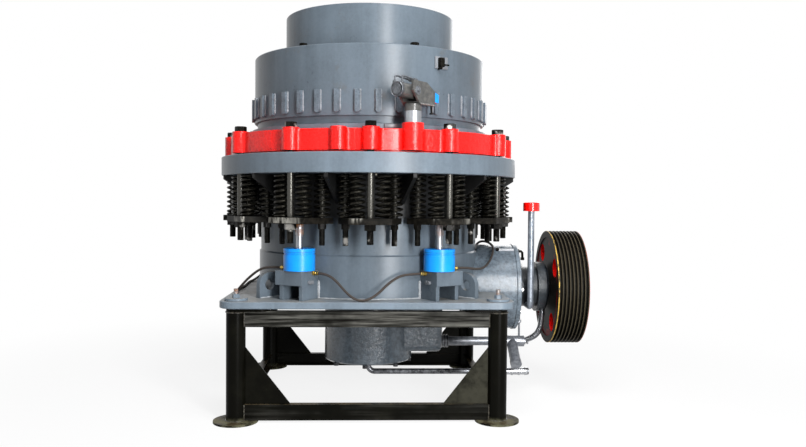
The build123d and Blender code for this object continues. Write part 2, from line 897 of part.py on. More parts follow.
with BuildPart() as jack_cylinders:
    with BuildSketch(Plane.XY.offset(jack_bottom)):
        for jack_angle in jack_angles:
            with Locations(around(jack_circle, jack_angle)):
                Circle(jack_radius)
    extrude(amount=jack_height)
    with BuildSketch(Plane.XY.offset(jack_top - jack_rod_depth)):
        for jack_angle in jack_angles:
            with Locations(around(jack_circle, jack_angle)):
                Circle(jack_rod_radius + running_clearance)
    extrude(amount=jack_rod_depth, mode=Mode.SUBTRACT)
    with BuildSketch(Plane.XY.offset(jack_bottom + jack_groove_height)):
        for jack_angle in jack_angles:
            with Locations(around(jack_circle, jack_angle)):
                Circle(jack_radius)
                Circle(jack_radius - jack_groove_depth, mode=Mode.SUBTRACT)
    extrude(amount=jack_groove_width, mode=Mode.SUBTRACT)
jack_cylinders.part.label = "jack_cylinders"
export_step(jack_cylinders.part, "parts/jack_cylinders.step")


with BuildPart() as jack_rods:
    for rod_radius, rod_bottom in (
        (jack_rod_radius, jack_top - jack_rod_depth + jack_rod_lift),
        (jack_sleeve_radius, spring_plate_bottom - jack_sleeve_height),
    ):
        with BuildSketch(Plane.XY.offset(rod_bottom)):
            for jack_angle in jack_angles:
                with Locations(around(jack_circle, jack_angle)):
                    Circle(rod_radius)
        extrude(amount=spring_plate_bottom - rod_bottom)
jack_rods.part.label = "jack_rods"
export_step(jack_rods.part, "parts/jack_rods.step")


def across(angle, outward, sideways):
    """Point at an outward distance and a sideways offset from a radial line at this angle."""
    a = radians(angle)
    return outward * sin(a) + sideways * cos(a), -outward * cos(a) + sideways * sin(a)


def radial_strip(angle, start, end, low, high):
    """Flat outline lying along a radial line, between two sideways offsets."""
    Polygon(
        across(angle, start, low),
        across(angle, end, low),
        across(angle, end, high),
        across(angle, start, high),
        align=None,
    )


block_bottom = jack_bottom - block_height
with BuildPart() as jack_brackets:
    for jack_angle in jack_angles:
        outer_side = -1 if sin(radians(2 * jack_angle)) < 0 else 1
        block_low = min(-outer_side * block_inner_side, outer_side * block_outer_side)
        block_high = max(-outer_side * block_inner_side, outer_side * block_outer_side)
        with BuildSketch(Plane.XY.offset(block_bottom)):
            radial_strip(jack_angle, shell_bore, block_reach, block_low, block_high)
        extrude(amount=block_height)
        inner_rib = -outer_side * (block_inner_side - bracket_rib_thickness / 2)
        for rib_middle in (inner_rib, outer_side * bracket_outer_rib):
            with BuildSketch(Plane.XY.offset(plate_top)):
                radial_strip(
                    jack_angle,
                    shell_bore,
                    block_reach - bracket_rib_setback,
                    rib_middle - bracket_rib_thickness / 2,
                    rib_middle + bracket_rib_thickness / 2,
                )
            extrude(amount=block_bottom - plate_top)
    with BuildSketch(Plane.XY.offset(plate_top)):
        Circle(band_radius)
    extrude(amount=jack_bottom - plate_top, mode=Mode.SUBTRACT)
jack_brackets.part.label = "jack_brackets"
export_step(jack_brackets.part, "parts/jack_brackets.step")


with BuildPart() as lifting_ears:
    for ear_index in range(4):
        with BuildSketch(radial_plane(ear_angle + ear_index * 90)):
            with Locations((ear_hole_circle, plate_top + ear_hole_height)):
                Circle(ear_round)
            with Locations((ear_hole_circle + ear_round, plate_top)):
                Rectangle(2 * ear_round, ear_hole_height, align=(Align.MAX, Align.MIN))
            with Locations((ear_hole_circle, plate_top)):
                Rectangle(
                    ear_hole_circle - shell_radius,
                    ear_hole_height + ear_round,
                    align=(Align.MAX, Align.MIN),
                )
            with Locations((ear_hole_circle, plate_top + ear_hole_height)):
                Circle(ear_hole_radius, mode=Mode.SUBTRACT)
        extrude(amount=ear_thickness / 2, both=True)
    with BuildSketch(Plane.XY.offset(plate_top)):
        Circle(band_radius)
    extrude(amount=ear_hole_height + ear_round, mode=Mode.SUBTRACT)
lifting_ears.part.label = "lifting_ears"
export_step(lifting_ears.part, "parts/lifting_ears.step")


def fitting_plane(angle, outward, side, start, height):
    """Upright plane on the side of a jack or its block, where a hose fitting stands."""
    a = radians(angle)
    foot_x, foot_y = across(angle, outward, side * start)
    return Plane(
        origin=(foot_x, foot_y, height),
        x_dir=(0, 0, 1),
        z_dir=(side * cos(a), side * sin(a), 0),
    )


left_jack, right_jack, back_right_jack, back_left_jack = jack_angles
fitting_planes = [
    fitting_plane(left_jack, front_fitting_reach, 1, block_inner_side, front_fitting_height),
    fitting_plane(right_jack, front_fitting_reach, -1, block_inner_side, front_fitting_height),
    fitting_plane(left_jack, jack_circle, -1, jack_radius, side_fitting_height),
    fitting_plane(back_left_jack, jack_circle, 1, jack_radius, side_fitting_height),
    fitting_plane(right_jack, jack_circle, 1, jack_radius, side_fitting_height),
    fitting_plane(back_right_jack, jack_circle, -1, jack_radius, side_fitting_height),
]
with BuildPart() as hose_fittings:
    for seat_plane in fitting_planes:
        with BuildSketch(seat_plane):
            Circle(fitting_radius)
        extrude(amount=fitting_length)
hose_fittings.part.label = "hose_fittings"
export_step(hose_fittings.part, "parts/hose_fittings.step")


with BuildPart() as adjusting_cap:
    with BuildSketch(Plane.XZ):
        Polygon(
            (cap_radius - cap_wall, cap_bottom),
            (cap_radius, cap_bottom),
            (cap_radius, cap_top),
            (hopper_radius - hopper_wall, cap_top),
            (hopper_radius - hopper_wall, cap_top - cap_top_thickness),
            (cap_radius - cap_wall, cap_top - cap_top_thickness),
            align=None,
        )
    revolve(axis=Axis.Z)
    cap_rim = adjusting_cap.edges().group_by(Axis.Z)[-1].sort_by(SortBy.RADIUS)[-1]
    chamfer(cap_rim, cap_chamfer)
adjusting_cap.part.label = "adjusting_cap"
export_step(adjusting_cap.part, "parts/adjusting_cap.step")


with BuildPart() as dust_skirt:
    with BuildSketch(Plane.XY.offset(clamp_top + skirt_gap)):
        Circle(cap_radius - cap_wall)
        Circle(cap_radius - cap_wall - skirt_wall, mode=Mode.SUBTRACT)
    extrude(amount=skirt_height)
dust_skirt.part.label = "dust_skirt"
export_step(dust_skirt.part, "parts/dust_skirt.step")


with BuildPart() as drive_lugs:
    with BuildSketch(Plane.XY.offset(lug_bottom)):
        with PolarLocations(cap_radius, lug_count, start_angle=lug_phase - 90):
            Rectangle(2 * lug_proud, lug_width)
    extrude(amount=lug_top - lug_bottom)
    lug_ends = drive_lugs.edges().group_by(Axis.Z)[0].filter_by(
        lambda edge: edge.length > (2 * lug_proud + lug_width) / 2
    )
    fillet(lug_ends, lug_round)
    with BuildSketch(Plane.XY.offset(lug_bottom)):
        Circle(cap_radius)
    extrude(amount=lug_top - lug_bottom, mode=Mode.SUBTRACT)
drive_lugs.part.label = "drive_lugs"
export_step(drive_lugs.part, "parts/drive_lugs.step")


with BuildPart() as feed_hopper:
    with BuildSketch(Plane.XY.offset(cap_top)):
        Circle(hopper_radius)
        Circle(hopper_radius - hopper_wall, mode=Mode.SUBTRACT)
    extrude(amount=hopper_top - cap_top)
    chamfer(feed_hopper.edges().group_by(Axis.Z)[-1], hopper_chamfer)
feed_hopper.part.label = "feed_hopper"
export_step(feed_hopper.part, "parts/feed_hopper.step")


with BuildPart() as bowl:
    with BuildSketch(Plane.XZ):
        Polygon(
            (liner_mouth_radius + liner_wall, bowl_bottom),
            (bowl_radius, bowl_bottom),
            (bowl_radius, bowl_top),
            (cap_radius - cap_wall, bowl_top),
            (cap_radius - cap_wall, bowl_top + bowl_rim_thickness),
            (liner_neck_radius + liner_wall, bowl_top + bowl_rim_thickness),
            (liner_neck_radius + liner_wall, bowl_top),
            align=None,
        )
    revolve(axis=Axis.Z)
bowl.part.label = "bowl"
export_step(bowl.part, "parts/bowl.step")


liner_neck_top = bowl_top + bowl_rim_thickness
with BuildPart() as bowl_liner:
    with BuildSketch(Plane.XZ):
        Polygon(
            (liner_mouth_radius, liner_bottom),
            (liner_mouth_radius + liner_wall, liner_bottom),
            (liner_mouth_radius + liner_wall, bowl_bottom),
            (liner_neck_radius + liner_wall, bowl_top),
            (liner_neck_radius + liner_wall, liner_neck_top),
            (liner_neck_radius, liner_neck_top),
            (liner_neck_radius, liner_throat),
            align=None,
        )
    revolve(axis=Axis.Z)
bowl_liner.part.label = "bowl_liner"
export_step(bowl_liner.part, "parts/bowl_liner.step")


with BuildPart() as feed_cone:
    with BuildSketch(Plane.XZ):
        Polygon(
            (liner_neck_radius, liner_neck_top),
            (liner_neck_radius + feed_cone_foot, liner_neck_top),
            (hopper_radius - hopper_wall, cap_top - cap_top_thickness - feed_cone_foot),
            (hopper_radius - hopper_wall, cap_top - cap_top_thickness),
            (hopper_radius - hopper_wall - feed_cone_foot, cap_top - cap_top_thickness),
            align=None,
        )
    revolve(axis=Axis.Z)
feed_cone.part.label = "feed_cone"
export_step(feed_cone.part, "parts/feed_cone.step")


with BuildPart() as mantle:
    with BuildSketch(Plane.XZ):
        Polygon(
            (0, hub_top),
            (head_neck_radius, hub_top),
            (head_neck_radius, mantle_bottom - mantle_skirt),
            (mantle_bottom_radius - mantle_skirt, mantle_bottom - mantle_skirt),
            (mantle_bottom_radius, mantle_bottom),
            (mantle_top_radius, mantle_top),
            (0, mantle_top),
            align=None,
        )
    revolve(axis=Axis.Z)
mantle.part.label = "mantle"
export_step(mantle.part, "parts/mantle.step")


with BuildPart() as feed_plate:
    with BuildSketch(Plane.XZ):
        Polygon(
            (0, mantle_top),
            (mantle_top_radius, mantle_top),
            (feed_plate_radius, mantle_top + feed_plate_thickness / 2),
            (feed_plate_radius, mantle_top + feed_plate_thickness),
            (feed_plate_radius - feed_dish, mantle_top + feed_plate_thickness),
            (0, mantle_top + feed_plate_thickness / 2),
            align=None,
        )
    revolve(axis=Axis.Z)
feed_plate.part.label = "feed_plate"
export_step(feed_plate.part, "parts/feed_plate.step")


with BuildPart() as pusher_post:
    with BuildSketch(Plane.XY.offset(post_boss_top)):
        with Locations(around(post_circle, post_angle)):
            Circle(post_radius)
    extrude(amount=post_height)
pusher_post.part.label = "pusher_post"
export_step(pusher_post.part, "parts/pusher_post.step")


post_x, post_y = around(post_circle, post_angle)
ram_angle = radians(pusher_direction)
ram_direction = (cos(ram_angle), sin(ram_angle), 0)
ram_side = (-sin(ram_angle), cos(ram_angle), 0)
pusher_plane = Plane(
    origin=(post_x, post_y, 0),
    x_dir=ram_direction,
    z_dir=(sin(ram_angle), -cos(ram_angle), 0),
)
ram_plane = Plane(origin=(post_x, post_y, pusher_axis_height), x_dir=ram_side, z_dir=ram_direction)


with BuildPart() as pusher_yoke:
    with BuildSketch(Plane.XY.offset(swivel_bottom)):
        with Locations((post_x, post_y)):
            Circle(post_radius)
    extrude(amount=swivel_height)
    with BuildSketch(pusher_plane):
        Polygon(
            (yoke_back, swivel_top + yoke_back_rise),
            (yoke_back, yoke_top),
            (yoke_front_slope, yoke_top),
            (yoke_front, yoke_front_top),
            (yoke_front, swivel_top),
            (yoke_floor_back, swivel_top),
            align=None,
        )
    extrude(amount=yoke_half_width, both=True)
    with BuildSketch(ram_plane):
        with Locations((0, swivel_top + yoke_floor - pusher_axis_height)):
            Rectangle(
                2 * (yoke_half_width - yoke_wall),
                yoke_top - swivel_top,
                align=(Align.CENTER, Align.MIN),
            )
    extrude(amount=2 * yoke_front, both=True, mode=Mode.SUBTRACT)
    with BuildSketch(pusher_plane):
        with Locations((trunnion_place, pusher_axis_height)):
            Circle(trunnion_radius)
    extrude(amount=yoke_half_width, both=True, mode=Mode.SUBTRACT)
pusher_yoke.part.label = "pusher_yoke"
export_step(pusher_yoke.part, "parts/pusher_yoke.step")


with BuildPart() as pusher_ram:
    with BuildSketch(ram_plane.offset(-ram_body_back)):
        Circle(ram_body_radius)
    extrude(amount=ram_body_back + ram_body_front)
    with BuildSketch(pusher_plane):
        with Locations((trunnion_place, pusher_axis_height)):
            Circle(trunnion_radius)
    extrude(amount=yoke_half_width, both=True)
pusher_ram.part.label = "pusher_ram"
export_step(pusher_ram.part, "parts/pusher_ram.step")


with BuildPart() as pusher_head:
    with BuildSketch(pusher_plane):
        Polygon(
            (ram_body_front, head_bottom),
            (ram_body_front, head_back_top),
            (ram_body_front + head_length, head_nose_top),
            (ram_body_front + head_length, head_bottom),
            align=None,
        )
    extrude(amount=head_half_width, both=True)
pusher_head.part.label = "pusher_head"
export_step(pusher_head.part, "parts/pusher_head.step")


with BuildPart() as oil_return_pipe:
    with BuildSketch(Plane.YZ.offset(sump_reach)):
        with Locations((0, return_height)):
            Circle(coupling_radius)
    extrude(amount=coupling_length)
    with BuildSketch(Plane.YZ.offset(sump_reach)):
        with Locations((0, return_height)):
            Circle(return_radius)
    extrude(amount=tee_start - sump_reach)
oil_return_pipe.part.label = "oil_return_pipe"
export_step(oil_return_pipe.part, "parts/oil_return_pipe.step")


branch_length = hypot(branch_run, branch_fall)
branch_plane = Plane(
    origin=(tee_middle, 0, return_height),
    x_dir=(1, 0, 0),
    z_dir=(0, -branch_run, -branch_fall),
)
with BuildPart() as return_tee:
    with BuildSketch(Plane.YZ.offset(tee_start)):
        with Locations((0, return_height)):
            Circle(tee_radius)
    extrude(amount=tee_end - tee_start)
    with BuildSketch(branch_plane):
        Circle(branch_radius)
    extrude(amount=branch_length)
    with BuildSketch(branch_plane.offset(branch_length - branch_cap_length)):
        Circle(branch_cap_radius)
    extrude(amount=branch_cap_length)
return_tee.part.label = "return_tee"
export_step(return_tee.part, "parts/return_tee.step")


riser_points = [
    (tee_end - riser_root, 0, return_height),
    (riser_turn_x, riser_turn_y, return_height + riser_kick),
    (riser_top_x, riser_top_y, riser_mid_z),
    (riser_top_x, riser_top_y, shaft_height - seal_radius / 2),
]
with BuildPart() as drain_riser:
    with BuildLine() as riser_path:
        FilletPolyline(*riser_points, radius=riser_bend)
    riser_start = Plane(origin=riser_path.line @ 0, z_dir=riser_path.line % 0)
    with BuildSketch(riser_start):
        Circle(riser_radius)
    sweep()
    with BuildSketch(Plane.YZ.offset(tee_start)):
        with Locations((0, return_height)):
            Circle(tee_radius)
    extrude(amount=tee_end - tee_start, mode=Mode.SUBTRACT)
    with BuildSketch(Plane.YZ.offset(seal_start)):
        with Locations((0, shaft_height)):
            Circle(seal_radius)
    extrude(amount=seal_length, mode=Mode.SUBTRACT)
drain_riser.part.label = "drain_riser"
export_step(drain_riser.part, "parts/drain_riser.step")


with BuildPart() as drip_pipe:
    with BuildSketch(Plane.XY.offset(return_height)):
        with Locations((drip_pipe_x, 0)):
            Circle(drip_pipe_radius)
    extrude(amount=shaft_height - return_height)
    with BuildSketch(Plane.XY.offset(drip_nut_height)):
        with Locations((drip_pipe_x, 0)):
            RegularPolygon(hex_radius(drip_nut_flats), 6)
    extrude(amount=drip_nut_thickness)
    with BuildSketch(Plane.YZ.offset(nose_start)):
        with Locations((0, shaft_height)):
            Circle(nose_radius)
    extrude(amount=nose_length, mode=Mode.SUBTRACT)
    with BuildSketch(Plane.YZ.offset(tee_start)):
        with Locations((0, return_height)):
            Circle(tee_radius)
    extrude(amount=tee_end - tee_start, mode=Mode.SUBTRACT)
drip_pipe.part.label = "drip_pipe"
export_step(drip_pipe.part, "parts/drip_pipe.step")


with BuildPart() as oil_inlet_pipe:
    with BuildLine():
        FilletPolyline(
            (0, 0, cover_bottom),
            (0, 0, inlet_height),
            (inlet_end, 0, inlet_height),
            radius=inlet_bend,
        )
    with BuildSketch(Plane.XY.offset(cover_bottom)):
        Circle(inlet_radius)
    sweep()
    with BuildSketch(Plane.YZ.offset(inlet_end)):
        with Locations((0, inlet_height)):
            Circle(connector_radius)
    extrude(amount=connector_length)
oil_inlet_pipe.part.label = "oil_inlet_pipe"
export_step(oil_inlet_pipe.part, "parts/oil_inlet_pipe.step")


with BuildPart() as breather_pipe:
    with BuildLine():
        FilletPolyline(
            (breather_x, -breather_seat, breather_bottom),
            (breather_x, breather_y, breather_bottom),
            (breather_x, breather_y, breather_top),
            radius=breather_bend,
        )
    with BuildSketch(Plane.XZ.offset(breather_seat)):
        with Locations((breather_x, breather_bottom)):
            Circle(breather_radius)
    sweep()
    with BuildSketch(Plane.YZ.offset(nose_start)):
        with Locations((0, shaft_height)):
            Circle(nose_radius)
    extrude(amount=nose_length, mode=Mode.SUBTRACT)
breather_pipe.part.label = "breather_pipe"
export_step(breather_pipe.part, "parts/breather_pipe.step")


with BuildPart() as breather_cap:
    with BuildSketch(Plane.XY.offset(breather_top)):
        with Locations((breather_x, breather_y)):
            Circle(breather_cap_radius)
    extrude(amount=breather_cap_height)
    fillet(breather_cap.edges().group_by(Axis.Z)[-1], breather_cap_round)
breather_cap.part.label = "breather_cap"
export_step(breather_cap.part, "parts/breather_cap.step")


def bend_radii(points):
    """Largest bends that the runs beside each point of a hose's route allow."""
    radii = []
    for before, corner, after in zip(points, points[1:], points[2:]):
        run_in = Vector(*corner) - Vector(*before)
        run_out = Vector(*after) - Vector(*corner)
        half_turn = radians(run_in.get_angle(run_out)) / 2
        radii.append(hose_bend_share * min(run_in.length, run_out.length) / tan(half_turn))
    return radii


def make_hose(name, points):
    """Hose between two fittings, as straight runs joined by tangent arcs."""
    radii = bend_radii(points)
    print(name, "bend radii", [round(radius) for radius in radii])
    with BuildPart() as hose:
        with BuildLine() as hose_path:
            FilletPolyline(*points, radius=radii)
        hose_start = Plane(origin=hose_path.line @ 0, z_dir=hose_path.line % 0)
        with BuildSketch(hose_start):
            Circle(hose_radius)
        sweep()
    length = hose_path.wires()[0].length
    tube_volume = pi * hose_radius**2 * length
    print(name, "length", round(length), "volume share", round(hose.part.volume / tube_volume, 4))
    hose.part.label = name
    export_step(hose.part, f"parts/{name}.step")


make_hose("hose_front", front_hose_points)
make_hose("hose_right", right_hose_points)
make_hose("hose_left", left_hose_points)
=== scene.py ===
from math import asin, cos, degrees, pi, radians, sin, sqrt, tau
from random import Random

import bmesh
import bpy
from mathutils import Matrix, Vector


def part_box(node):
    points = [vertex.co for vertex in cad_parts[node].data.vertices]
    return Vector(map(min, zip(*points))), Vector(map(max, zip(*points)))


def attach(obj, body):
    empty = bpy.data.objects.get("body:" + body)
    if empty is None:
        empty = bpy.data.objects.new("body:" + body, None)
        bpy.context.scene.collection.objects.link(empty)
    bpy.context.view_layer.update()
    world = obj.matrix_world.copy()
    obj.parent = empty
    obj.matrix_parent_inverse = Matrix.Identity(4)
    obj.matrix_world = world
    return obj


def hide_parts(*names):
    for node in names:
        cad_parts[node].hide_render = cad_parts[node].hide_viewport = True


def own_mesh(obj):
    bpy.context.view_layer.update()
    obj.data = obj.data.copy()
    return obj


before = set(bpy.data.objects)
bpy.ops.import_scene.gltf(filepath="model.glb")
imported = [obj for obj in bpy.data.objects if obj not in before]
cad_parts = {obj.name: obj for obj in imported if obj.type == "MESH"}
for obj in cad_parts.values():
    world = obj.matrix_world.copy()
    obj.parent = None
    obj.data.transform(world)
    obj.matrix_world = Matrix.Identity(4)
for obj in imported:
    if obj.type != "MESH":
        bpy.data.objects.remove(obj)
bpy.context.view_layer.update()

bl_info = {
    "name": "Spring cone crusher dressing",
    "version": (1, 0, 0),
    "blender": (4, 5, 0),
    "location": "3D View > Sidebar > Crusher",
    "description": "Adds the springs, hoses, threads, welds and finishes to a spring cone crusher",
    "category": "Object",
}


def levels(node):
    """Lowest and highest level of a node."""
    return [corner[2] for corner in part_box(node)]


def right_top(node):
    """How far a node reaches to the right, and its top."""
    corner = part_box(node)[1]
    return corner[0], corner[2]


# Heights and places read from the frame
PLATE_TOP = levels("base_plate")[1]
TOP_BEAM_LOW, TOP_BEAM_HIGH = levels("top_beams")
LOW_BEAM_LOW, LOW_BEAM_HIGH = levels("bottom_beams")
BEAM_FACE = right_top("bottom_beams")[0]
FLANGE_BOTTOM = levels("main_flange")[0]
SPRING_BOTTOM, SPRING_TOP = levels("coil_springs")
SPRING_PLATE_BOTTOM, SPRING_PLATE_TOP = levels("spring_plates")
BOLT_BOTTOM, BOLT_TOP = levels("main_bolts")
STUD_BOTTOM, STUD_TOP = levels("spring_studs")
CLAMP_RADIUS, CLAMP_TOP = right_top("clamp_ring")
CAP_RADIUS, CAP_TOP = right_top("adjusting_cap")
LUG_BOTTOM, LUG_TOP = levels("drive_lugs")
COVER_BOTTOM = levels("hub_cover")[0]
SHEAVE_BOTTOM, SHEAVE_TOP = levels("drive_sheave")
SHEAVE_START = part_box("drive_sheave")[0][0]
SHAFT_HEIGHT = (SHEAVE_BOTTOM + SHEAVE_TOP) / 2
SHEAVE_RADIUS = (SHEAVE_TOP - SHEAVE_BOTTOM) / 2
NOSE_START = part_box("bearing_cap")[0][0]
TEE_END = right_top("return_tee")[0]
RETURN_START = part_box("oil_return_pipe")[0][0]
INLET_END = right_top("oil_inlet_pipe")[0]
BLOCK_TOP = levels("jack_brackets")[1]
JACK_BOTTOM, JACK_TOP = levels("jack_cylinders")
POST_TOP = levels("pusher_post")[1]
ANCHOR_TOP = levels("hold_downs")[1]

# Places that the frame's boxes don't give, the same as in the CAD model
LEG_OFFSET = 0.907
LEG_RADIUS = 0.0665
BAND_RADIUS = 0.866
EAR_REACH = 1.090
EAR_HALF_THICKNESS = 0.020
SECTORS = 12
PATTERN_PHASE = 0.7
GROUP_ANGLES = [PATTERN_PHASE + number * 360 / SECTORS for number in range(SECTORS)]
BOLT_CIRCLE = 1.088
BOLT_RADIUS = 0.024
BOLT_FLATS = 0.075
BOLT_HEAD = 0.038
BOLT_NUT = 0.040
STUD_RADIUS = 0.021
STUD_FLATS = 0.050
STUD_NUT = 0.037
OUTER_CIRCLE = 1.065
OUTER_SPREAD = 4.8
INNER_CIRCLE = 0.965
INNER_SPREAD = 10.0
LUGS = 40
LUG_PHASE = 3.9
LUG_HALF_WIDTH = 0.0185
JACK_CIRCLE = 0.978
JACK_RADIUS = 0.110
JACK_ANGLES = (PATTERN_PHASE - 30, PATTERN_PHASE + 30, PATTERN_PHASE + 150, PATTERN_PHASE + 210)
BLOCK_INNER_SIDE = 0.081
BRACKET_INNER_SIDE = 0.086
BRACKET_OUTER_SIDE = 0.115
FRONT_FITTING_REACH = JACK_CIRCLE - 0.048
POST_ANGLE = 15.7
POST_CIRCLE = 1.090
PUSHER_DIRECTION = radians(50.5)
RAM_HEIGHT = POST_TOP + 0.129
HOUSING_RADIUS = 0.338
RETURN_HEIGHT = 0.401
INLET_HEIGHT = 0.153
ANCHOR_RADIUS = 0.015
SHEAVE_HOLES = 4
SHEAVE_HOLE_CIRCLE = 0.318
SHEAVE_HOLE_PHASE = 57
SHEAVE_HOLE_RADIUS = 0.074
SHEAVE_WEB = (0.0095, 0.066)
SHEAVE_RIM_INSIDE = 0.401
SHEAVE_RIM_WIDTH = 0.238

UP = Vector((0.0, 0.0, 1.0))
RIGHT = Vector((1.0, 0.0, 0.0))


def size(name, description, default):
    """A length that a user would change."""
    return bpy.props.FloatProperty(name=name, description=description, default=default, unit="LENGTH")


def paint(name, description, default):
    """A paint colour that a user would change."""
    return bpy.props.FloatVectorProperty(
        name=name, description=description, default=default, subtype="COLOR"
    )


class CrusherSizes(bpy.types.PropertyGroup):
    """Sizes that a user would change."""

    turns: bpy.props.FloatProperty(name="Spring turns", description="Turns in each spring", default=8.6)
    wire: size("Spring wire", "Diameter of the spring wire", 0.0175)
    spring_width: size("Spring width", "Outer diameter of a spring", 0.119)
    thread: size("Thread", "Pitch of the bolt and stud threads", 0.0085)
    weld: size("Weld", "Radius of the weld beads", 0.006)
    hose: size("Hose", "Diameter of the jack hoses", 0.018)


class CrusherColours(bpy.types.PropertyGroup):
    """Paint colours that a user would change."""

    body_paint: paint("Body paint", "Blue-grey paint of the frame and the cap", (0.084, 0.106, 0.128))
    ring_paint: paint("Ring paint", "Red paint of the adjustment ring", (0.90, 0.004, 0.002))
    jack_paint: paint("Jack paint", "Blue paint of the clearing jacks", (0.002, 0.27, 0.86))
    stand_paint: paint("Stand paint", "Black paint of the stand", (0.0024, 0.0023, 0.0015))


class Value:
    """A socket that can stand in Python sums."""

    def __init__(self, nodes, socket):
        self.nodes = nodes
        self.socket = socket

    def __add__(self, other):
        return self.nodes.maths("ADD", self, other)

    def __mul__(self, other):
        return self.nodes.maths("MULTIPLY", self, other)

    def __sub__(self, other):
        return self.nodes.maths("SUBTRACT", self, other)

    def __rsub__(self, other):
        return self.nodes.maths("SUBTRACT", other, self)

    def __pow__(self, other):
        return self.nodes.maths("POWER", self, other)

    __radd__ = __add__
    __rmul__ = __mul__


class Nodes:
    """A node tree that is written as Python sums."""

    def __init__(self, tree):
        self.tree = tree

    def node(self, kind, settings, sockets, output=0):
        """One node: its settings first, then the values or links of its sockets."""
        made = self.tree.nodes.new(kind)
        for name, value in settings.items():
            setattr(made, name, value)
        for name, value in sockets.items():
            self.feed(made.inputs[name], value)
        return Value(self, made.outputs[output])

    def feed(self, socket, value):
        """Links a value to a socket, or sets the socket to a number, a colour or a vector."""
        if isinstance(value, Value):
            self.tree.links.new(value.socket, socket)
        elif isinstance(value, tuple) and socket.type == "RGBA":
            socket.default_value = (*value, 1.0)
        else:
            socket.default_value = value

    def maths(self, operation, first, second=0.0):
        """A sum of numbers that may differ from place to place."""
        return self.node("ShaderNodeMath", {"operation": operation}, {0: first, 1: second})

    def part(self, axis, vector):
        """One of the three parts of a vector."""
        return self.node("ShaderNodeSeparateXYZ", {}, {"Vector": vector}, axis)

    def between(self, value, low, high):
        """0 below low, 1 above high, smooth in between."""
        return self.node(
            "ShaderNodeMapRange", {"interpolation_type": "SMOOTHSTEP"},
            {"Value": value, "From Min": low, "From Max": high},
        )

    def blend(self, first, second, share):
        """Colour between two colours, the second by this share."""
        return self.node("ShaderNodeMix", {"data_type": "RGBA"}, {0: share, 6: first, 7: second}, 2)

    def seen(self):
        """1 for what is seen, straight, as a reflection or through glass."""
        camera, glossy, through = (
            self.node("ShaderNodeLightPath", {}, {}, f"Is {ray} Ray")
            for ray in ("Camera", "Glossy", "Transmission")
        )
        return self.maths("MAXIMUM", self.maths("MAXIMUM", camera, glossy), through)


class Finish(Nodes):
    """A material of one shader, with its patterns laid out in object coordinates."""

    def __init__(self, name):
        self.material = bpy.data.materials.new(name)
        self.material.use_nodes = True
        super().__init__(self.material.node_tree)
        self.tree.nodes.clear()
        self.output = self.tree.nodes.new("ShaderNodeOutputMaterial")
        self.shader = self.tree.nodes.new("ShaderNodeBsdfPrincipled")
        self.tree.links.new(self.shader.outputs[0], self.output.inputs[0])
        self.place = self.node("ShaderNodeTexCoord", {}, {}, "Object")
        parts = self.tree.nodes.new("ShaderNodeSeparateXYZ")
        self.feed(parts.inputs[0], self.place)
        self.x, self.y, self.z = (Value(self, output) for output in parts.outputs)

    def noise(self, scale, detail=4.0, roughness=0.55, vector=None):
        sockets = {
            "Vector": vector or self.place, "Scale": scale, "Detail": detail, "Roughness": roughness,
        }
        return self.node("ShaderNodeTexNoise", {}, sockets)

    def patches(self, low, high, *noise):
        """Patches of noise, from 0 where it is below low to 1 where it is above high."""
        return self.between(self.noise(*noise), low, high)

    def stretched(self, x, y, z):
        """Object coordinates scaled apart along the three axes."""
        return self.node("ShaderNodeMapping", {}, {"Vector": self.place, "Scale": (x, y, z)})

    def within(self, value, low, high, edge):
        """1 from low to high, fading to 0 over the edge on both sides."""
        return self.between(value, low - edge, low) * (1.0 - self.between(value, high, high + edge))

    def from_point(self, x, y, z):
        """Distance from a place on the object, with any axis left out where it is None."""
        total = 0.0
        for part, middle in zip((self.x, self.y, self.z), (x, y, z)):
            if middle is not None:
                off = part - middle
                total = off * off + total
        return total ** 0.5

    def facing_up(self, low, high):
        """0 where the surface faces up less than low, 1 where more than high."""
        normal = self.node("ShaderNodeNewGeometry", {}, {}, "Normal")
        return self.between(self.part("Z", normal), low, high)

    def relief(self, height, distance, corner=0.0025):
        """Uneven surface over corners eased by a small radius, as thick paint does."""
        eased = self.node("ShaderNodeBevel", {"samples": 4}, {"Radius": corner})
        sockets = {"Height": height, "Distance": distance, "Normal": eased}
        self.feed(self.shader.inputs["Normal"], self.node("ShaderNodeBump", {}, sockets))

    def skin(self, colour, roughness, **others):
        """Feeds the shader's colour, its roughness and its other sockets, _ standing for a space."""
        sockets = {"Base Color": colour, "Roughness": roughness}
        sockets.update((name.replace("_", " "), value) for name, value in others.items())
        for name, value in sockets.items():
            self.feed(self.shader.inputs[name], value)


def shade(colour, share):
    """The colour made darker or lighter by a share."""
    return tuple(min(1.0, channel * share) for channel in colour)


DUST = (0.26, 0.205, 0.135)
OIL_STAIN = (0.085, 0.066, 0.046)
DARK_RUST = (0.17, 0.060, 0.018)
PALE_RUST = (0.30, 0.13, 0.045)
# Painted shade: the near-black put where shade falls, on the shell above its spring plates and under the red
# ring
PAINTED_SHADE = (0.012, 0.011, 0.010)
DRY_MUD = (0.15, 0.145, 0.090)
FLOOR_DIRT = (0.082, 0.062, 0.036)
RUBBED_STEEL = (0.30, 0.29, 0.27)


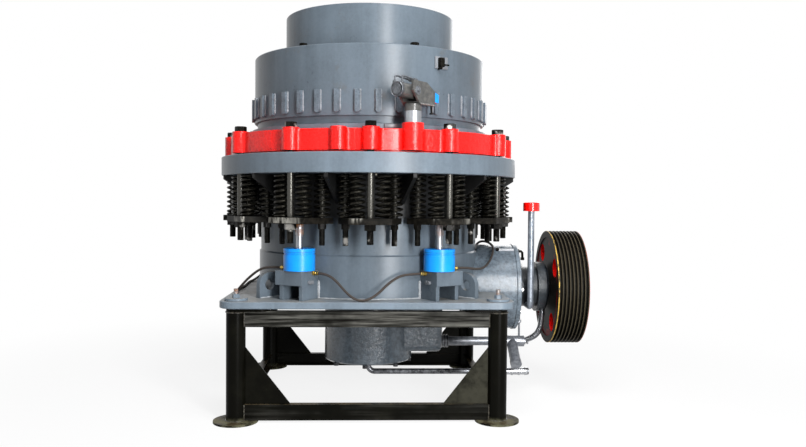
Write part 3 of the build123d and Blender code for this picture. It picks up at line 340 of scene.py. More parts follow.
def smooth_paint(name, colour, dust=0.0, gloss=0.30, stain=0.0, painted_shade_from=None, corner=0.0025):
    """Sprayed machine paint: broad cloudy shade, faint runs, small specks and orange peel."""
    finish = Finish(name)
    cloudy = finish.noise(1.9, 5.0, 0.6)
    runs = finish.noise(1.0, 4.0, 0.6, finish.stretched(9.0, 9.0, 0.7))
    specks = finish.noise(46.0, 6.0, 0.7)
    tone = finish.between(cloudy * 0.45 + runs * 0.35 + specks * 0.2, 0.36, 0.64)
    look = finish.blend(shade(colour, 0.80), shade(colour, 1.20), tone)
    pits = finish.patches(0.70, 0.78, 120.0, 2.0, 0.5)
    look = finish.blend(look, shade(colour, 0.35), pits * 0.6)
    rough = specks * 0.10 + cloudy * 0.10 + (gloss - 0.10)
    if dust:
        thick = finish.patches(0.30, 0.62, 5.5, 6.0, 0.62) * 0.75 + 0.2
        cover = finish.facing_up(0.55, 0.98) * thick * dust
        look = finish.blend(look, DUST, cover)
        rough = rough + cover * 0.45
    if stain:
        look = finish.blend(look, OIL_STAIN, finish.patches(0.56, 0.68, 3.2, 7.0, 0.7) * stain)
    # Painted shade: above this height the paint goes near black, where the flange and the springs shade the
    # shell
    if painted_shade_from is not None:
        height = finish.z + (finish.noise(9.0, 3.0, 0.5) - 0.5) * 0.05
        painted_shade_above = finish.between(height, painted_shade_from - 0.03, painted_shade_from + 0.03)
        look = finish.blend(look, PAINTED_SHADE, painted_shade_above * 0.93)
        rough = rough + painted_shade_above * 0.25
    finish.skin(look, rough, IOR=1.32)
    finish.relief(finish.noise(85.0, 3.0, 0.55) * 0.6 + specks * 0.4, 0.0005, corner)
    return finish.material


def cast_paint(name, colour, scale, depth, gloss=0.30, coat=0.1, lift=1.25):
    """Paint over rough sand-cast metal: lumps and pits, with painted shade in the low places and a painted
    highlight on the high spots.
    """
    finish = Finish(name)
    lumps = finish.noise(scale, 7.0, 0.62)
    grain = lumps * 0.6 + finish.noise(scale / 6, 4.0, 0.55) * 0.4
    # Painted shade and painted highlight: darker where the relief is low, lighter by the lift where it is
    # high
    look = finish.blend(shade(colour, 0.60), shade(colour, lift), finish.between(grain, 0.34, 0.66))
    finish.skin(look, lumps * 0.16 + (gloss - 0.08), Coat_Weight=coat, Coat_Roughness=0.16, IOR=1.38)
    finish.relief(grain, depth, 0.004)
    return finish.material


def red_paint(name, colour):
    """Thick glossy red over a cast ring, with painted shade where its relief is low and on its faces that
    look down.
    """
    finish = Finish(name)
    lumps = finish.noise(38.0, 6.0, 0.6)
    ripples = finish.noise(13.0, 3.0, 0.5)
    # Painted shade: the red goes darker where the relief is low
    height_against_painted_shade = finish.between(lumps * 0.6 + ripples * 0.4, 0.38, 0.62)
    look = finish.blend(shade(colour, 0.86), colour, height_against_painted_shade)
    chips = finish.patches(0.74, 0.77, 70.0, 5.0, 0.7)
    look = finish.blend(look, (0.10, 0.012, 0.008), chips * 0.7)
    # Painted shade under the ring: faces that look down go near black
    look = finish.blend(look, PAINTED_SHADE, 1.0 - finish.facing_up(-0.7, -0.3))
    finish.skin(look, lumps * 0.12 + 0.22, Coat_Weight=0.2, Coat_Roughness=0.12, IOR=1.36)
    finish.relief(lumps * 0.62 + ripples * 0.38, 0.0085, 0.007)
    return finish.material


def black_paint(name, colour, streaks=0.0, brown_from=None, pale_right=0.0):
    """Glossy black stand paint, with worn grey streaks and dry brown mud where they show."""
    finish = Finish(name)
    cloudy = finish.noise(4.0, 6.0, 0.65)
    fine = finish.noise(60.0, 5.0, 0.65)
    look = finish.blend(colour, shade(colour, 2.4), finish.between(cloudy, 0.45, 0.75))
    rough = fine * 0.16 + 0.22
    if streaks:
        lines = finish.patches(0.40, 0.74, 1.0, 8.0, 0.62, finish.stretched(1.1, 1.1, 30.0))
        worn = lines * finish.patches(0.38, 0.60, 1.7, 4.0, 0.6) * streaks
        look = finish.blend(look, (0.25, 0.245, 0.22), worn)
        rough = rough + worn * 0.2
    if pale_right:
        front_right = finish.between(finish.x, 0.4, 0.6) * finish.between(finish.y, -0.4, -0.6)
        cover = finish.patches(0.25, 0.65, 7.0, 6.0, 0.65) * pale_right
        look = finish.blend(look, (0.062, 0.060, 0.044), front_right * cover)
    dirt = finish.facing_up(0.6, 0.98) * finish.patches(0.36, 0.60, 8.0, 6.0, 0.6) * 0.75
    look = finish.blend(look, FLOOR_DIRT, dirt)
    if brown_from is not None:
        low = 1.0 - finish.between(finish.z, brown_from - 0.02, brown_from + 0.03)
        splash = low * finish.patches(0.40, 0.62, 14.0, 6.0, 0.65)
        look = finish.blend(look, DRY_MUD, splash * 0.85)
        rough = rough + splash * 0.3
    finish.skin(look, rough, IOR=1.12)
    finish.relief(fine * 0.5 + cloudy * 0.5, 0.0005)
    return finish.material


def bare_steel(name, colour, gloss, rust=0.0, rust_from=None):
    """Polished or drawn steel with handling marks, and rust in its dull patches."""
    finish = Finish(name)
    dull = finish.patches(0.3, 0.7, 13.0, 6.0, 0.65)
    lines = finish.noise(1.0, 4.0, 0.6, finish.stretched(160.0, 160.0, 8.0))
    look = finish.blend(shade(colour, 0.62), colour, dull * 0.6 + lines * 0.4)
    metal = 0.95
    rough = (1.0 - dull) * 0.14 + gloss
    if rust:
        spread = finish.patches(0.42, 0.60, 17.0, 7.0, 0.7) * rust
        if rust_from is not None:
            spread = spread * finish.between(finish.z, rust_from - 0.015, rust_from + 0.01)
            spread = spread * (1.15 - finish.between(finish.x, -0.3, 0.3) * 0.7)
        look = finish.blend(look, finish.blend(DARK_RUST, PALE_RUST, finish.noise(60.0)), spread)
        metal = 0.95 - spread * 0.8
        rough = rough + spread * 0.4
    finish.skin(look, rough, Metallic=metal)
    finish.relief(finish.noise(150.0, 3.0, 0.5), 0.0003, 0.0015)
    return finish.material


def black_steel(name, worn=0.0, bright_low=None, bright_high=None):
    """Blackened oily steel, rubbed grey in places, with a bright shank between two heights."""
    finish = Finish(name)
    cloudy = finish.noise(21.0, 6.0, 0.65)
    look = finish.blend((0.0022, 0.0021, 0.0017), (0.010, 0.009, 0.007), finish.between(cloudy, 0.4, 0.7))
    rubbed = finish.patches(0.57, 0.63, 5.3, 4.0, 0.6) * worn
    look = finish.blend(look, RUBBED_STEEL, rubbed)
    metal = rubbed * 0.5
    if bright_low is not None:
        shank = finish.within(finish.z, bright_low, bright_high, 0.004)
        look = finish.blend(look, (0.075, 0.073, 0.066), shank)
        metal = metal + shank * 0.8
    finish.skin(look, cloudy * 0.22 + 0.16, Metallic=metal, IOR=1.15)
    finish.relief(finish.noise(90.0, 4.0, 0.6), 0.0005, 0.0015)
    return finish.material


def jack_finish(name, colour):
    """Bright blue enamel with a darker line under the cylinder's top, painted shade for its groove."""
    finish = Finish(name)
    cloudy = finish.noise(7.0, 5.0, 0.6)
    look = finish.blend(shade(colour, 0.86), colour, finish.between(cloudy, 0.35, 0.65))
    # Painted shade: a dark band stands for the shade in the groove under the top
    groove = finish.within(finish.z, JACK_TOP - 0.0235, JACK_TOP - 0.0205, 0.001)
    look = finish.blend(look, shade(colour, 0.30), groove * 0.8)
    scuffs = finish.patches(0.66, 0.70, 38.0, 6.0, 0.7)
    look = finish.blend(look, (0.06, 0.09, 0.11), scuffs * 0.5)
    finish.skin(look, cloudy * 0.15 + 0.28, Coat_Weight=0.1, Coat_Roughness=0.25, IOR=1.36)
    finish.relief(finish.noise(90.0, 3.0, 0.5), 0.0003)
    return finish.material


def spring_plate_finish(name):
    """Black cast plates whose outer edges are rubbed bright here and there."""
    finish = Finish(name)
    skin = finish.noise(40.0, 6.0, 0.7)
    look = finish.blend((0.004, 0.0037, 0.003), (0.016, 0.014, 0.011), finish.between(skin, 0.4, 0.7))
    outward = finish.between(finish.from_point(0.0, 0.0, None), 1.120, 1.136)
    band = finish.within(finish.z, SPRING_PLATE_BOTTOM + 0.006, SPRING_PLATE_TOP, 0.004)
    scratches = finish.patches(0.40, 0.55, 1.0, 5.0, 0.7, finish.stretched(60.0, 60.0, 9.0))
    worn = outward * band * finish.patches(0.50, 0.62, 2.6, 3.0, 0.5) * scratches
    look = finish.blend(look, (0.30, 0.29, 0.26), worn)
    finish.skin(look, skin * 0.25 + 0.28, Metallic=worn * 0.5, IOR=1.14)
    finish.relief(skin, 0.0018)
    return finish.material


def sheave_finish(name):
    """Black sheave with brownish groove lips, gold worn rim edges, red in its holes and far face, and red
    paint in painted shade on its near ledge.
    """
    finish = Finish(name)
    along = finish.x - SHEAVE_START
    radius = finish.from_point(None, 0.0, SHAFT_HEIGHT)
    fine = finish.noise(70.0, 5.0, 0.7)
    look = finish.blend((0.004, 0.0037, 0.0030), (0.020, 0.018, 0.014), finish.between(fine, 0.4, 0.7))
    lips = finish.between(radius, SHEAVE_RADIUS - 0.0035, SHEAVE_RADIUS - 0.0005)
    look = finish.blend(look, (0.060, 0.050, 0.032), lips * 0.8)
    rims = finish.within(along, -0.01, 0.0055, 0.003) + finish.within(along, 0.0165, 0.0225, 0.003)
    gold = rims * lips * finish.patches(0.40, 0.52, 24.0, 7.0, 0.75)
    look = finish.blend(look, (0.55, 0.36, 0.075), gold)
    nearest = 1.0
    for number in range(SHEAVE_HOLES):
        turn = radians(SHEAVE_HOLE_PHASE + 360 / SHEAVE_HOLES * number)
        y, z = SHEAVE_HOLE_CIRCLE * cos(turn), SHAFT_HEIGHT + SHEAVE_HOLE_CIRCLE * sin(turn)
        nearest = finish.maths("MINIMUM", finish.from_point(None, y, z), nearest)
    web_start, web_end = SHEAVE_WEB
    outside_holes = finish.between(nearest, SHEAVE_HOLE_RADIUS - 0.0005, SHEAVE_HOLE_RADIUS + 0.0005)
    holes = (1.0 - outside_holes) * finish.within(along, web_start, web_end, 0.001)
    outside_rim = finish.between(radius, SHEAVE_RIM_INSIDE - 0.0005, SHEAVE_RIM_INSIDE + 0.0005)
    far_face = finish.between(along, web_end - 0.0005, web_end + 0.0005) * (1.0 - outside_rim)
    rim_face = finish.between(along, SHEAVE_RIM_WIDTH - 0.0005, SHEAVE_RIM_WIDTH + 0.0005)
    # Painted shade: patches of dark red on the near ledge stand for the red inside the rim in shade
    ledge = finish.within(radius, 0.352, 0.402, 0.012) * finish.within(along, 0.001, web_start, 0.001)
    red_in_painted_shade = ledge * finish.patches(0.44, 0.56, 6.0, 3.0, 0.5)
    look = finish.blend(look, (0.20, 0.002, 0.0015), red_in_painted_shade)
    red = finish.maths("MAXIMUM", finish.maths("MAXIMUM", holes, far_face), rim_face)
    look = finish.blend(look, (0.74, 0.007, 0.005), red)
    finish.skin(look, fine * 0.20 + 0.36, Metallic=gold * 0.4, IOR=1.12)
    finish.relief(fine, 0.0006, 0.0018)
    return finish.material


def plain_finish(name, dark, light, gloss, metal=0.0, coat=0.0, scale=30.0, depth=0.0004):
    """A small part's finish: two shades in fine patches over a slightly uneven surface."""
    finish = Finish(name)
    patches = finish.noise(scale, 6.0, 0.65)
    finish.skin(
        finish.blend(dark, light, finish.between(patches, 0.35, 0.65)), patches * 0.16 + (gloss - 0.08),
        Metallic=metal, Coat_Weight=coat, Coat_Roughness=0.15, IOR=1.35,
    )
    finish.relief(finish.noise(scale * 4, 3.0, 0.5), depth, 0.0015)
    return finish.material


class CRUSHER_OT_finishes(bpy.types.Operator):
    """Gives every CAD piece its paint or metal"""

    bl_idname = "crusher.finishes"
    bl_label = "Finishes"

    def execute(self, context):
        look = context.scene.crusher_colours
        grey = tuple(look.body_paint)
        red = tuple(look.ring_paint)
        black = tuple(look.stand_paint)
        groups = (
            (smooth_paint("cap_paint", grey, stain=0.35), "adjusting_cap feed_hopper dust_skirt feed_cone"),
            # The flange, shell, base plate, brackets, lugs, hub and housing carry the body paint made lighter
            # or darker part by part, painted light and shade.
            (smooth_paint("flange_paint", shade(grey, 1.40), gloss=0.34), "main_flange clamp_ring"),
            # The shell gets painted shade above its spring plates.
            (smooth_paint("shell_paint", shade(grey, 1.15), painted_shade_from=1.395), "frame_shell"),
            # The flange ribs carry the frame's paint made near black, painted shade under the flange.
            (smooth_paint("rib_painted_shade", (0.005, 0.005, 0.005), gloss=0.5), "flange_ribs"),
            (smooth_paint("plate_paint", shade(grey, 1.55), dust=0.40, corner=0.007),
             "base_plate hold_downs"),
            (smooth_paint("bracket_paint", shade(grey, 1.15), dust=0.3, corner=0.007),
             "jack_brackets lifting_ears"),
            (cast_paint("lug_paint", shade(grey, 1.15), 90.0, 0.0012), "drive_lugs"),
            (cast_paint("hub_paint", shade(grey, 0.80), 36.0, 0.0100, 0.22, 0.4), "frame_hub hub_cover"),
            (cast_paint("housing_paint", shade(grey, 1.45), 34.0, 0.0040, 0.28), "countershaft_housing"),
            (cast_paint("nose_paint", shade(grey, 0.16), 24.0, 0.0090, 0.34, 0.0, 2.0), "bearing_cap"),
            (red_paint("ring_red", red), "adjustment_ring"),
            (plain_finish("cap_red", (0.62, 0.004, 0.002), red, 0.25, coat=0.6), "breather_cap"),
            (jack_finish("jack_blue", tuple(look.jack_paint)), "jack_cylinders pusher_head"),
            (black_paint("gusset_paint", black, pale_right=0.5), "gussets"),
            (black_paint("pipe_leg_paint", black, brown_from=0.016), "legs"),
            (black_paint("top_beam_paint", black, streaks=0.95), "top_beams"),
            (black_paint("low_beam_paint", black, streaks=0.10), "bottom_beams"),
            (bare_steel("rod_steel", (0.40, 0.42, 0.45), 0.24, 0.95, SPRING_PLATE_BOTTOM - 0.080),
             "jack_rods"),
            (bare_steel("post_steel", (0.42, 0.44, 0.47), 0.26), "pusher_post countershaft"),
            (plain_finish("breather_grey", (0.15, 0.17, 0.20), (0.26, 0.29, 0.33), 0.30, 0.35, 0.3),
             "breather_pipe"),
            (plain_finish("pipe_grey", (0.13, 0.14, 0.16), (0.23, 0.24, 0.26), 0.30, 0.35, 0.2),
             "oil_return_pipe return_tee drip_pipe"),
            (plain_finish("inlet_steel", (0.06, 0.062, 0.068), (0.16, 0.165, 0.18), 0.28, 0.6, 0.2),
             "oil_inlet_pipe"),
            (spring_plate_finish("plate_black"), "spring_plates"),
            (sheave_finish("sheave_black"), "drive_sheave"),
            (plain_finish("pusher_grey", (0.040, 0.041, 0.040), (0.085, 0.083, 0.078), 0.36, coat=0.3),
             "pusher_yoke pusher_ram"),
            (plain_finish("liner_steel", (0.07, 0.058, 0.048), (0.16, 0.14, 0.125), 0.5, 0.6,
                          scale=9.0, depth=0.002), "bowl bowl_liner mantle feed_plate"),
            (plain_finish("brass", (0.34, 0.22, 0.05), (0.62, 0.45, 0.13), 0.28, 0.9), "hose_fittings"),
            (plain_finish("hose_rubber", (0.135, 0.090, 0.024), (0.480, 0.290, 0.060), 0.32, coat=0.3,
                          scale=60.0), "hose_front hose_right hose_left"),
        )
        for material, names in groups:
            for name in names.split():
                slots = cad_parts[name].data.materials
                slots.clear()
                slots.append(material)
        return {"FINISHED"}


def across(angle, outward, sideways, height=0.0):
    """Place at an outward distance and a sideways offset from a radial line, angle from the front."""
    turn = radians(angle)
    return Vector((
        outward * sin(turn) + sideways * cos(turn),
        -outward * cos(turn) + sideways * sin(turn),
        height,
    ))


def around(radius, angle, height=0.0):
    """Place on a circle round the machine's axis, angle from the front towards +X."""
    return across(angle, radius, 0.0, height)


def group_places(circle, spread, height=0.0):
    """Places at both sides of the middle of each spring group."""
    return [around(circle, angle + side, height) for side in (-spread, spread) for angle in GROUP_ANGLES]


def corner_places():
    """Middles of the four legs."""
    return [Vector((x * LEG_OFFSET, y * LEG_OFFSET, 0.0)) for x in (-1, 1) for y in (-1, 1)]


def standing(place, direction=UP, turn=0.0):
    """Moves a shape made on the origin along Z to a place, with its Z along a direction."""
    lean = Vector(direction).to_track_quat("Z", "Y").to_matrix().to_4x4()
    return Matrix.Translation(place) @ lean @ Matrix.Rotation(turn, 4, "Z")


def on_wall(radius, angle, height):
    """Standing on an upright round wall, looking outwards."""
    return standing(around(radius, angle, height), around(1.0, angle))


def ease(shape, parts, width, segments=2, affect="EDGES"):
    """Eases edges or corners of a shape."""
    bmesh.ops.bevel(
        shape, geom=list(parts), offset=width, segments=segments, profile=0.5, affect=affect, material=-1
    )


def prism(shape, matrix, sides, radius, height):
    """Upright prism standing on the matrix's origin; its points are given back."""
    middle = matrix @ Matrix.Translation((0.0, 0.0, height / 2))
    return bmesh.ops.create_cone(
        shape, cap_ends=True, segments=sides, radius1=radius, radius2=radius, depth=height, matrix=middle
    )["verts"]


def hexagon(shape, matrix, flats, height, chamfer=0.0035):
    """Nut or bolt head standing on the matrix's origin, its corners cut."""
    ease(shape, prism(shape, matrix, 6, flats / sqrt(3), height), chamfer, 1, "VERTICES")


def disc(shape, matrix, radius, height, bevel=0.002):
    """Round boss standing on the matrix's origin, its rims eased."""
    edges = {edge for vert in prism(shape, matrix, 24, radius, height) for edge in vert.link_edges}
    ease(shape, (edge for edge in edges if any(len(face.verts) > 4 for face in edge.link_faces)), bevel)


def block(shape, matrix, length, width, height, bevel):
    """Box standing on the matrix's origin, its edges eased."""
    middle = matrix @ Matrix.Translation((0.0, 0.0, height / 2))
    scaled = middle @ Matrix.Diagonal((length, width, height, 1.0))
    made = bmesh.ops.create_cube(shape, size=1.0, matrix=scaled)["verts"]
    ease(shape, {edge for vert in made for edge in vert.link_edges}, bevel)


def turned(shape, matrix, profile, segments=24):
    """Shape turned about the matrix's Z from its profile of radii and heights."""
    before = set(shape.verts)
    line = [shape.verts.new((radius, 0.0, height)) for radius, height in profile]
    edges = [shape.edges.new(pair) for pair in zip(line, line[1:])]
    bmesh.ops.spin(
        shape, geom=line + edges, cent=(0, 0, 0), axis=(0, 0, 1), angle=tau, steps=segments, use_merge=True,
    )
    made = [vert for vert in shape.verts if vert not in before]
    bmesh.ops.transform(shape, matrix=matrix, verts=made)


def swept(shape, path, radii, sides=8):
    """Closed tube through the points of a path, of one radius or with its own at each point."""
    if isinstance(radii, float):
        radii = [radii] * len(path)
    ways = [path[1] - path[0]]
    ways += [after - before for before, after in zip(path, path[2:])]
    ways.append(path[-1] - path[-2])
    lean = UP.rotation_difference(ways[0])
    ring = bmesh.ops.create_circle(shape, cap_ends=False, segments=sides, radius=1.0)["verts"]
    first = edges = list({edge for vert in ring for edge in vert.link_edges})
    place = Matrix.LocRotScale(path[0], lean, (radii[0],) * 3)
    bmesh.ops.transform(shape, matrix=place, verts=ring)
    for number in range(1, len(path)):
        made = bmesh.ops.extrude_edge_only(shape, edges=edges)["geom"]
        ring = {item for item in made if isinstance(item, bmesh.types.BMVert)}
        edges = list({
            edge for vert in ring for edge in vert.link_edges if edge.other_vert(vert) in ring
        })
        lean = ways[number - 1].rotation_difference(ways[number]) @ lean
        back = place.inverted()
        place = Matrix.LocRotScale(path[number], lean, (radii[number],) * 3)
        bmesh.ops.transform(shape, matrix=place @ back, verts=list(ring))
    for rim in (first, edges):
        bmesh.ops.edgeloop_fill(shape, edges=rim)


def bead(shape, path, radius, draw):
    """Hand-laid weld bead along a path, lumpy and a little uneven."""
    radii = [radius * draw.uniform(0.75, 1.3) for _ in path]
    radii[0] = radii[-1] = radius * 0.4
    swept(shape, path, radii, 6)


def line_between(start, end, points):
    """Evenly spaced points from start to end."""
    return [start.lerp(end, number / (points - 1)) for number in range(points)]


def as_mesh(shape, name):
    """The shape's mesh, with its faces outwards and its sharp edges kept."""
    bmesh.ops.remove_doubles(shape, verts=shape.verts, dist=1e-6)
    bmesh.ops.recalc_face_normals(shape, faces=shape.faces)
    mesh = bpy.data.meshes.new(name)
    shape.to_mesh(mesh)
    shape.free()
    mesh.shade_smooth()
    mesh.set_sharp_from_angle(angle=radians(38))
    return mesh


def add_piece(shape, name, material, body, slot, *replaced):
    """Adds the shape as a piece that rides on a body."""
    mesh = as_mesh(shape, name)
    mesh.materials.append(material)
    piece = bpy.data.objects.new(name, mesh)
    bpy.context.scene.collection.objects.link(piece)
    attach(piece, body)
    if replaced:
        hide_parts(*replaced)
    return piece


def add_copies(shape, matrices, *piece):
    """Adds one piece made of a copy of the shape at each matrix."""
    source = as_mesh(shape, "source")
    joined = bmesh.new()
    for matrix in matrices:
        one = source.copy()
        one.transform(matrix)
        joined.from_mesh(one)
        bpy.data.meshes.remove(one)
    bpy.data.meshes.remove(source)
    return add_piece(joined, *piece)


END_TURN = 0.75
SPRING_SEGMENTS = 24
SPRING_SIDES = 8


class CRUSHER_OT_springs(bpy.types.Operator):
    """Adds the coil springs below the flange"""

    bl_idname = "crusher.springs"
    bl_label = "Springs"

    def execute(self, context):
        sizes = context.scene.crusher_sizes
        lift = SPRING_TOP - SPRING_BOTTOM
        shape = bmesh.new()
        ring = bmesh.ops.create_circle(
            shape, cap_ends=False, segments=SPRING_SIDES, radius=sizes.wire / 2
        )["verts"]
        start = Matrix.Translation(((sizes.spring_width - sizes.wire) / 2, 0.0, sizes.wire / 2))
        bmesh.ops.transform(shape, matrix=start @ Matrix.Rotation(pi / 2, 4, "X"), verts=ring)
        first = last = list(shape.edges)
        closed = sizes.wire * END_TURN
        working = lift - sizes.wire - 2 * closed
        for turns, rise in ((END_TURN, closed), (sizes.turns - 2 * END_TURN, working), (END_TURN, closed)):
            steps = round(turns * SPRING_SEGMENTS)
            made = bmesh.ops.spin(
                shape, geom=last, cent=(0, 0, 0), axis=(0, 0, 1), dvec=(0, 0, rise / steps),
                angle=tau * turns, steps=steps, use_merge=False, use_duplicate=False,
            )["geom_last"]
            last = [item for item in made if isinstance(item, bmesh.types.BMEdge)]
        for rim in (first, last):
            bmesh.ops.edgeloop_fill(shape, edges=rim)
        draw = Random(7)
        places = group_places(OUTER_CIRCLE, OUTER_SPREAD, SPRING_BOTTOM)
        places += group_places(INNER_CIRCLE, INNER_SPREAD, SPRING_BOTTOM)
        finish = plain_finish(
            "spring_black", (0.0060, 0.0056, 0.0044), (0.024, 0.022, 0.017), 0.25, 0.8, scale=25.0,
            depth=0.0001,
        )
        piece = add_copies(
            shape, [standing(place, turn=draw.uniform(0.0, tau)) for place in places],
            "coil_spring_set", finish, "frame", "spring_steel", "coil_springs",
        )
        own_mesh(piece)
        return {"FINISHED"}


def thread_profile(radius, bottom, top, pitch, depth):
    """Radii and heights of a threaded length, from its chamfered end upwards."""
    profile = [(0.0, bottom), (radius - 2 * depth, bottom)]
    height = bottom + pitch / 2
    while height < top - pitch:
        profile += [(radius, height), (radius - depth, height + pitch / 2)]
        height += pitch
    profile.append((radius, top))
    return profile


class CRUSHER_OT_bolts(bpy.types.Operator):
    """Adds the main bolts and the spring studs with their threads and nuts"""

    bl_idname = "crusher.bolts"
    bl_label = "Bolts and studs"

    def execute(self, context):
        pitch = context.scene.crusher_sizes.thread
        draw = Random(11)
        boss_top = BOLT_TOP - BOLT_HEAD
        shape = bmesh.new()
        profile = thread_profile(BOLT_RADIUS, BOLT_BOTTOM, SPRING_PLATE_BOTTOM, pitch, 0.0022)
        turned(shape, Matrix(), profile + [(BOLT_RADIUS, boss_top)], 20)
        hexagon(shape, standing((0, 0, boss_top)), BOLT_FLATS, BOLT_HEAD, 0.005)
        hexagon(shape, standing((0, 0, SPRING_PLATE_BOTTOM - BOLT_NUT)), BOLT_FLATS, BOLT_NUT, 0.005)
        add_copies(
            shape,
            [standing(around(BOLT_CIRCLE, angle), turn=radians(angle) + draw.uniform(-0.5, 0.5))
             for angle in GROUP_ANGLES],
            "main_bolt_set", black_steel("bolt_black", 0.8, SPRING_PLATE_TOP, FLANGE_BOTTOM + 0.02),
            "ring", "bolt_steel", "main_bolts",
        )
        shape = bmesh.new()
        profile = thread_profile(STUD_RADIUS, STUD_BOTTOM, STUD_TOP, pitch, 0.0020)
        turned(shape, Matrix(), profile + [(0.0, STUD_TOP)], 12)
        hexagon(shape, standing((0, 0, SPRING_PLATE_BOTTOM - STUD_NUT)), STUD_FLATS, STUD_NUT)
        add_copies(
            shape,
            [standing(place, turn=draw.uniform(0.0, tau))
             for place in group_places(INNER_CIRCLE, INNER_SPREAD)],
            "spring_stud_set", black_steel("stud_black", 0.8, SPRING_PLATE_TOP, FLANGE_BOTTOM),
            "ring", "bolt_steel", "spring_studs",
        )
        return {"FINISHED"}


FOOT_BEAD_STEPS = 240
LEG_BEAD_STEPS = 40


class CRUSHER_OT_welds(bpy.types.Operator):
    """Adds the weld beads of the lugs, the brackets, the shell's foot and the stand"""

    bl_idname = "crusher.welds"
    bl_label = "Welds"

    def execute(self, context):
        radius = context.scene.crusher_sizes.weld
        draw = Random(3)
        self.lug_welds(radius, draw)
        self.frame_welds(radius, draw)
        self.stand_welds(radius, draw)
        return {"FINISHED"}

    def lug_welds(self, radius, draw):
        """A bead down both sides of each lug."""
        shape = bmesh.new()
        half_width = degrees(asin((LUG_HALF_WIDTH + radius * 0.3) / CAP_RADIUS))
        for number in range(LUGS):
            for side in (-half_width, half_width):
                turn = LUG_PHASE + number * 360 / LUGS + side
                low = around(CAP_RADIUS + radius * 0.35, turn, LUG_BOTTOM + 0.012)
                high = around(CAP_RADIUS + radius * 0.35, turn, LUG_TOP + 0.002)
                bead(shape, line_between(low, high, 16), radius * 1.15, draw)
        # The lug welds are painted paler than the cap, a painted highlight along the beads.
        finish = cast_paint("weld_painted_highlight", (0.20, 0.215, 0.235), 160.0, 0.001)
        add_piece(shape, "lug_welds", finish, "bowl", "cap_paint")

    def frame_welds(self, radius, draw):
        """The bead round the shell's foot, and the beads of the jack brackets and the ears."""
        shape = bmesh.new()
        turns = [360 / FOOT_BEAD_STEPS * number for number in range(FOOT_BEAD_STEPS + 1)]
        foot = [around(BAND_RADIUS + radius * 0.4, turn, PLATE_TOP + radius * 0.4) for turn in turns]
        kept = [place for place in foot if place.x < 0 or abs(place.y) > HOUSING_RADIUS]
        behind = next(number for number, place in enumerate(kept) if place.x > 0 and place.y > 0)
        bead(shape, kept[:behind], radius, draw)
        bead(shape, kept[behind:], radius, draw)
        for angle in JACK_ANGLES:
            inward = 1 if sin(radians(2 * angle)) < 0 else -1
            for side, offset in ((inward, BRACKET_INNER_SIDE), (-inward, BRACKET_OUTER_SIDE)):
                turn = angle + side * degrees(asin(offset / BAND_RADIUS))
                low = around(BAND_RADIUS + 0.001, turn, PLATE_TOP)
                high = around(BAND_RADIUS + 0.001, turn, BLOCK_TOP - 0.075)
                bead(shape, line_between(low, high, 18), radius * 1.5, draw)
        for angle in (45, 135, 225, 315):
            for side in (-EAR_HALF_THICKNESS, EAR_HALF_THICKNESS):
                start = across(angle, BAND_RADIUS, side, PLATE_TOP + 0.001)
                end = across(angle, EAR_REACH, side, PLATE_TOP + 0.001)
                bead(shape, line_between(start, end, 26), radius * 0.8, draw)
        # The beads are painted pale, a painted highlight along them.
        finish = cast_paint("bead_painted_highlight", (0.34, 0.36, 0.38), 150.0, 0.001)
        add_piece(shape, "frame_welds", finish, "frame", "frame_paint")

    def stand_welds(self, radius, draw):
        """Beads where the beams meet the legs, and round the legs' ends."""
        shape = bmesh.new()
        beam_end = LEG_OFFSET - sqrt(LEG_RADIUS ** 2 - (BEAM_FACE - LEG_OFFSET) ** 2)
        for turn in (0, 90, 180, 270):
            place = Matrix.Rotation(radians(turn), 3, "Z")
            beams = [(LOW_BEAM_LOW, LOW_BEAM_HIGH)]
            if turn != 90:
                beams.append((TOP_BEAM_LOW, TOP_BEAM_HIGH))
            for x in (-beam_end, beam_end):
                for heights in beams:
                    ends = [place @ Vector((x, -BEAM_FACE, height)) for height in heights]
                    bead(shape, line_between(*ends, 18), radius * 0.8, draw)
        turns = [360 / LEG_BEAD_STEPS * number for number in range(LEG_BEAD_STEPS + 1)]
        for leg in corner_places():
            for height in (0.0145, TOP_BEAM_HIGH - 0.006):
                ring = [leg + around(LEG_RADIUS + 0.001, turn, height) for turn in turns]
                bead(shape, ring, radius * 0.9, draw)
        finish = plain_finish(
            "stand_bead", (0.006, 0.0055, 0.004), (0.07, 0.062, 0.046), 0.3, coat=0.4, scale=90.0
        )
        add_piece(shape, "stand_welds", finish, "frame", "stand_paint")


CAP_BOLT_CIRCLE = 0.800
CAP_BOLT_PHASE = -36.5
STOP_ANGLE = 33.9
STOP_HEIGHT = 2.513
KEY_PHASE = 9.3
NOSE_BOLT_CIRCLE = 0.250
DRAIN_PLUG = (1.228, 0.0, 0.655)
HANDLE_LEAN = radians(62.5)
HANDLE_MIDDLE = Vector((1.088, 0.0, SHAFT_HEIGHT))
STUB_MIDDLE = Vector((1.018, 0.0, SHAFT_HEIGHT))
GREASE_FITTING = Vector((NOSE_START, -0.118, 1.140))
COVER_BOLT_CIRCLE = 0.328
COVER_BOLT_PHASE = 41.0
SLEEVE_RING_SPACING = 0.021


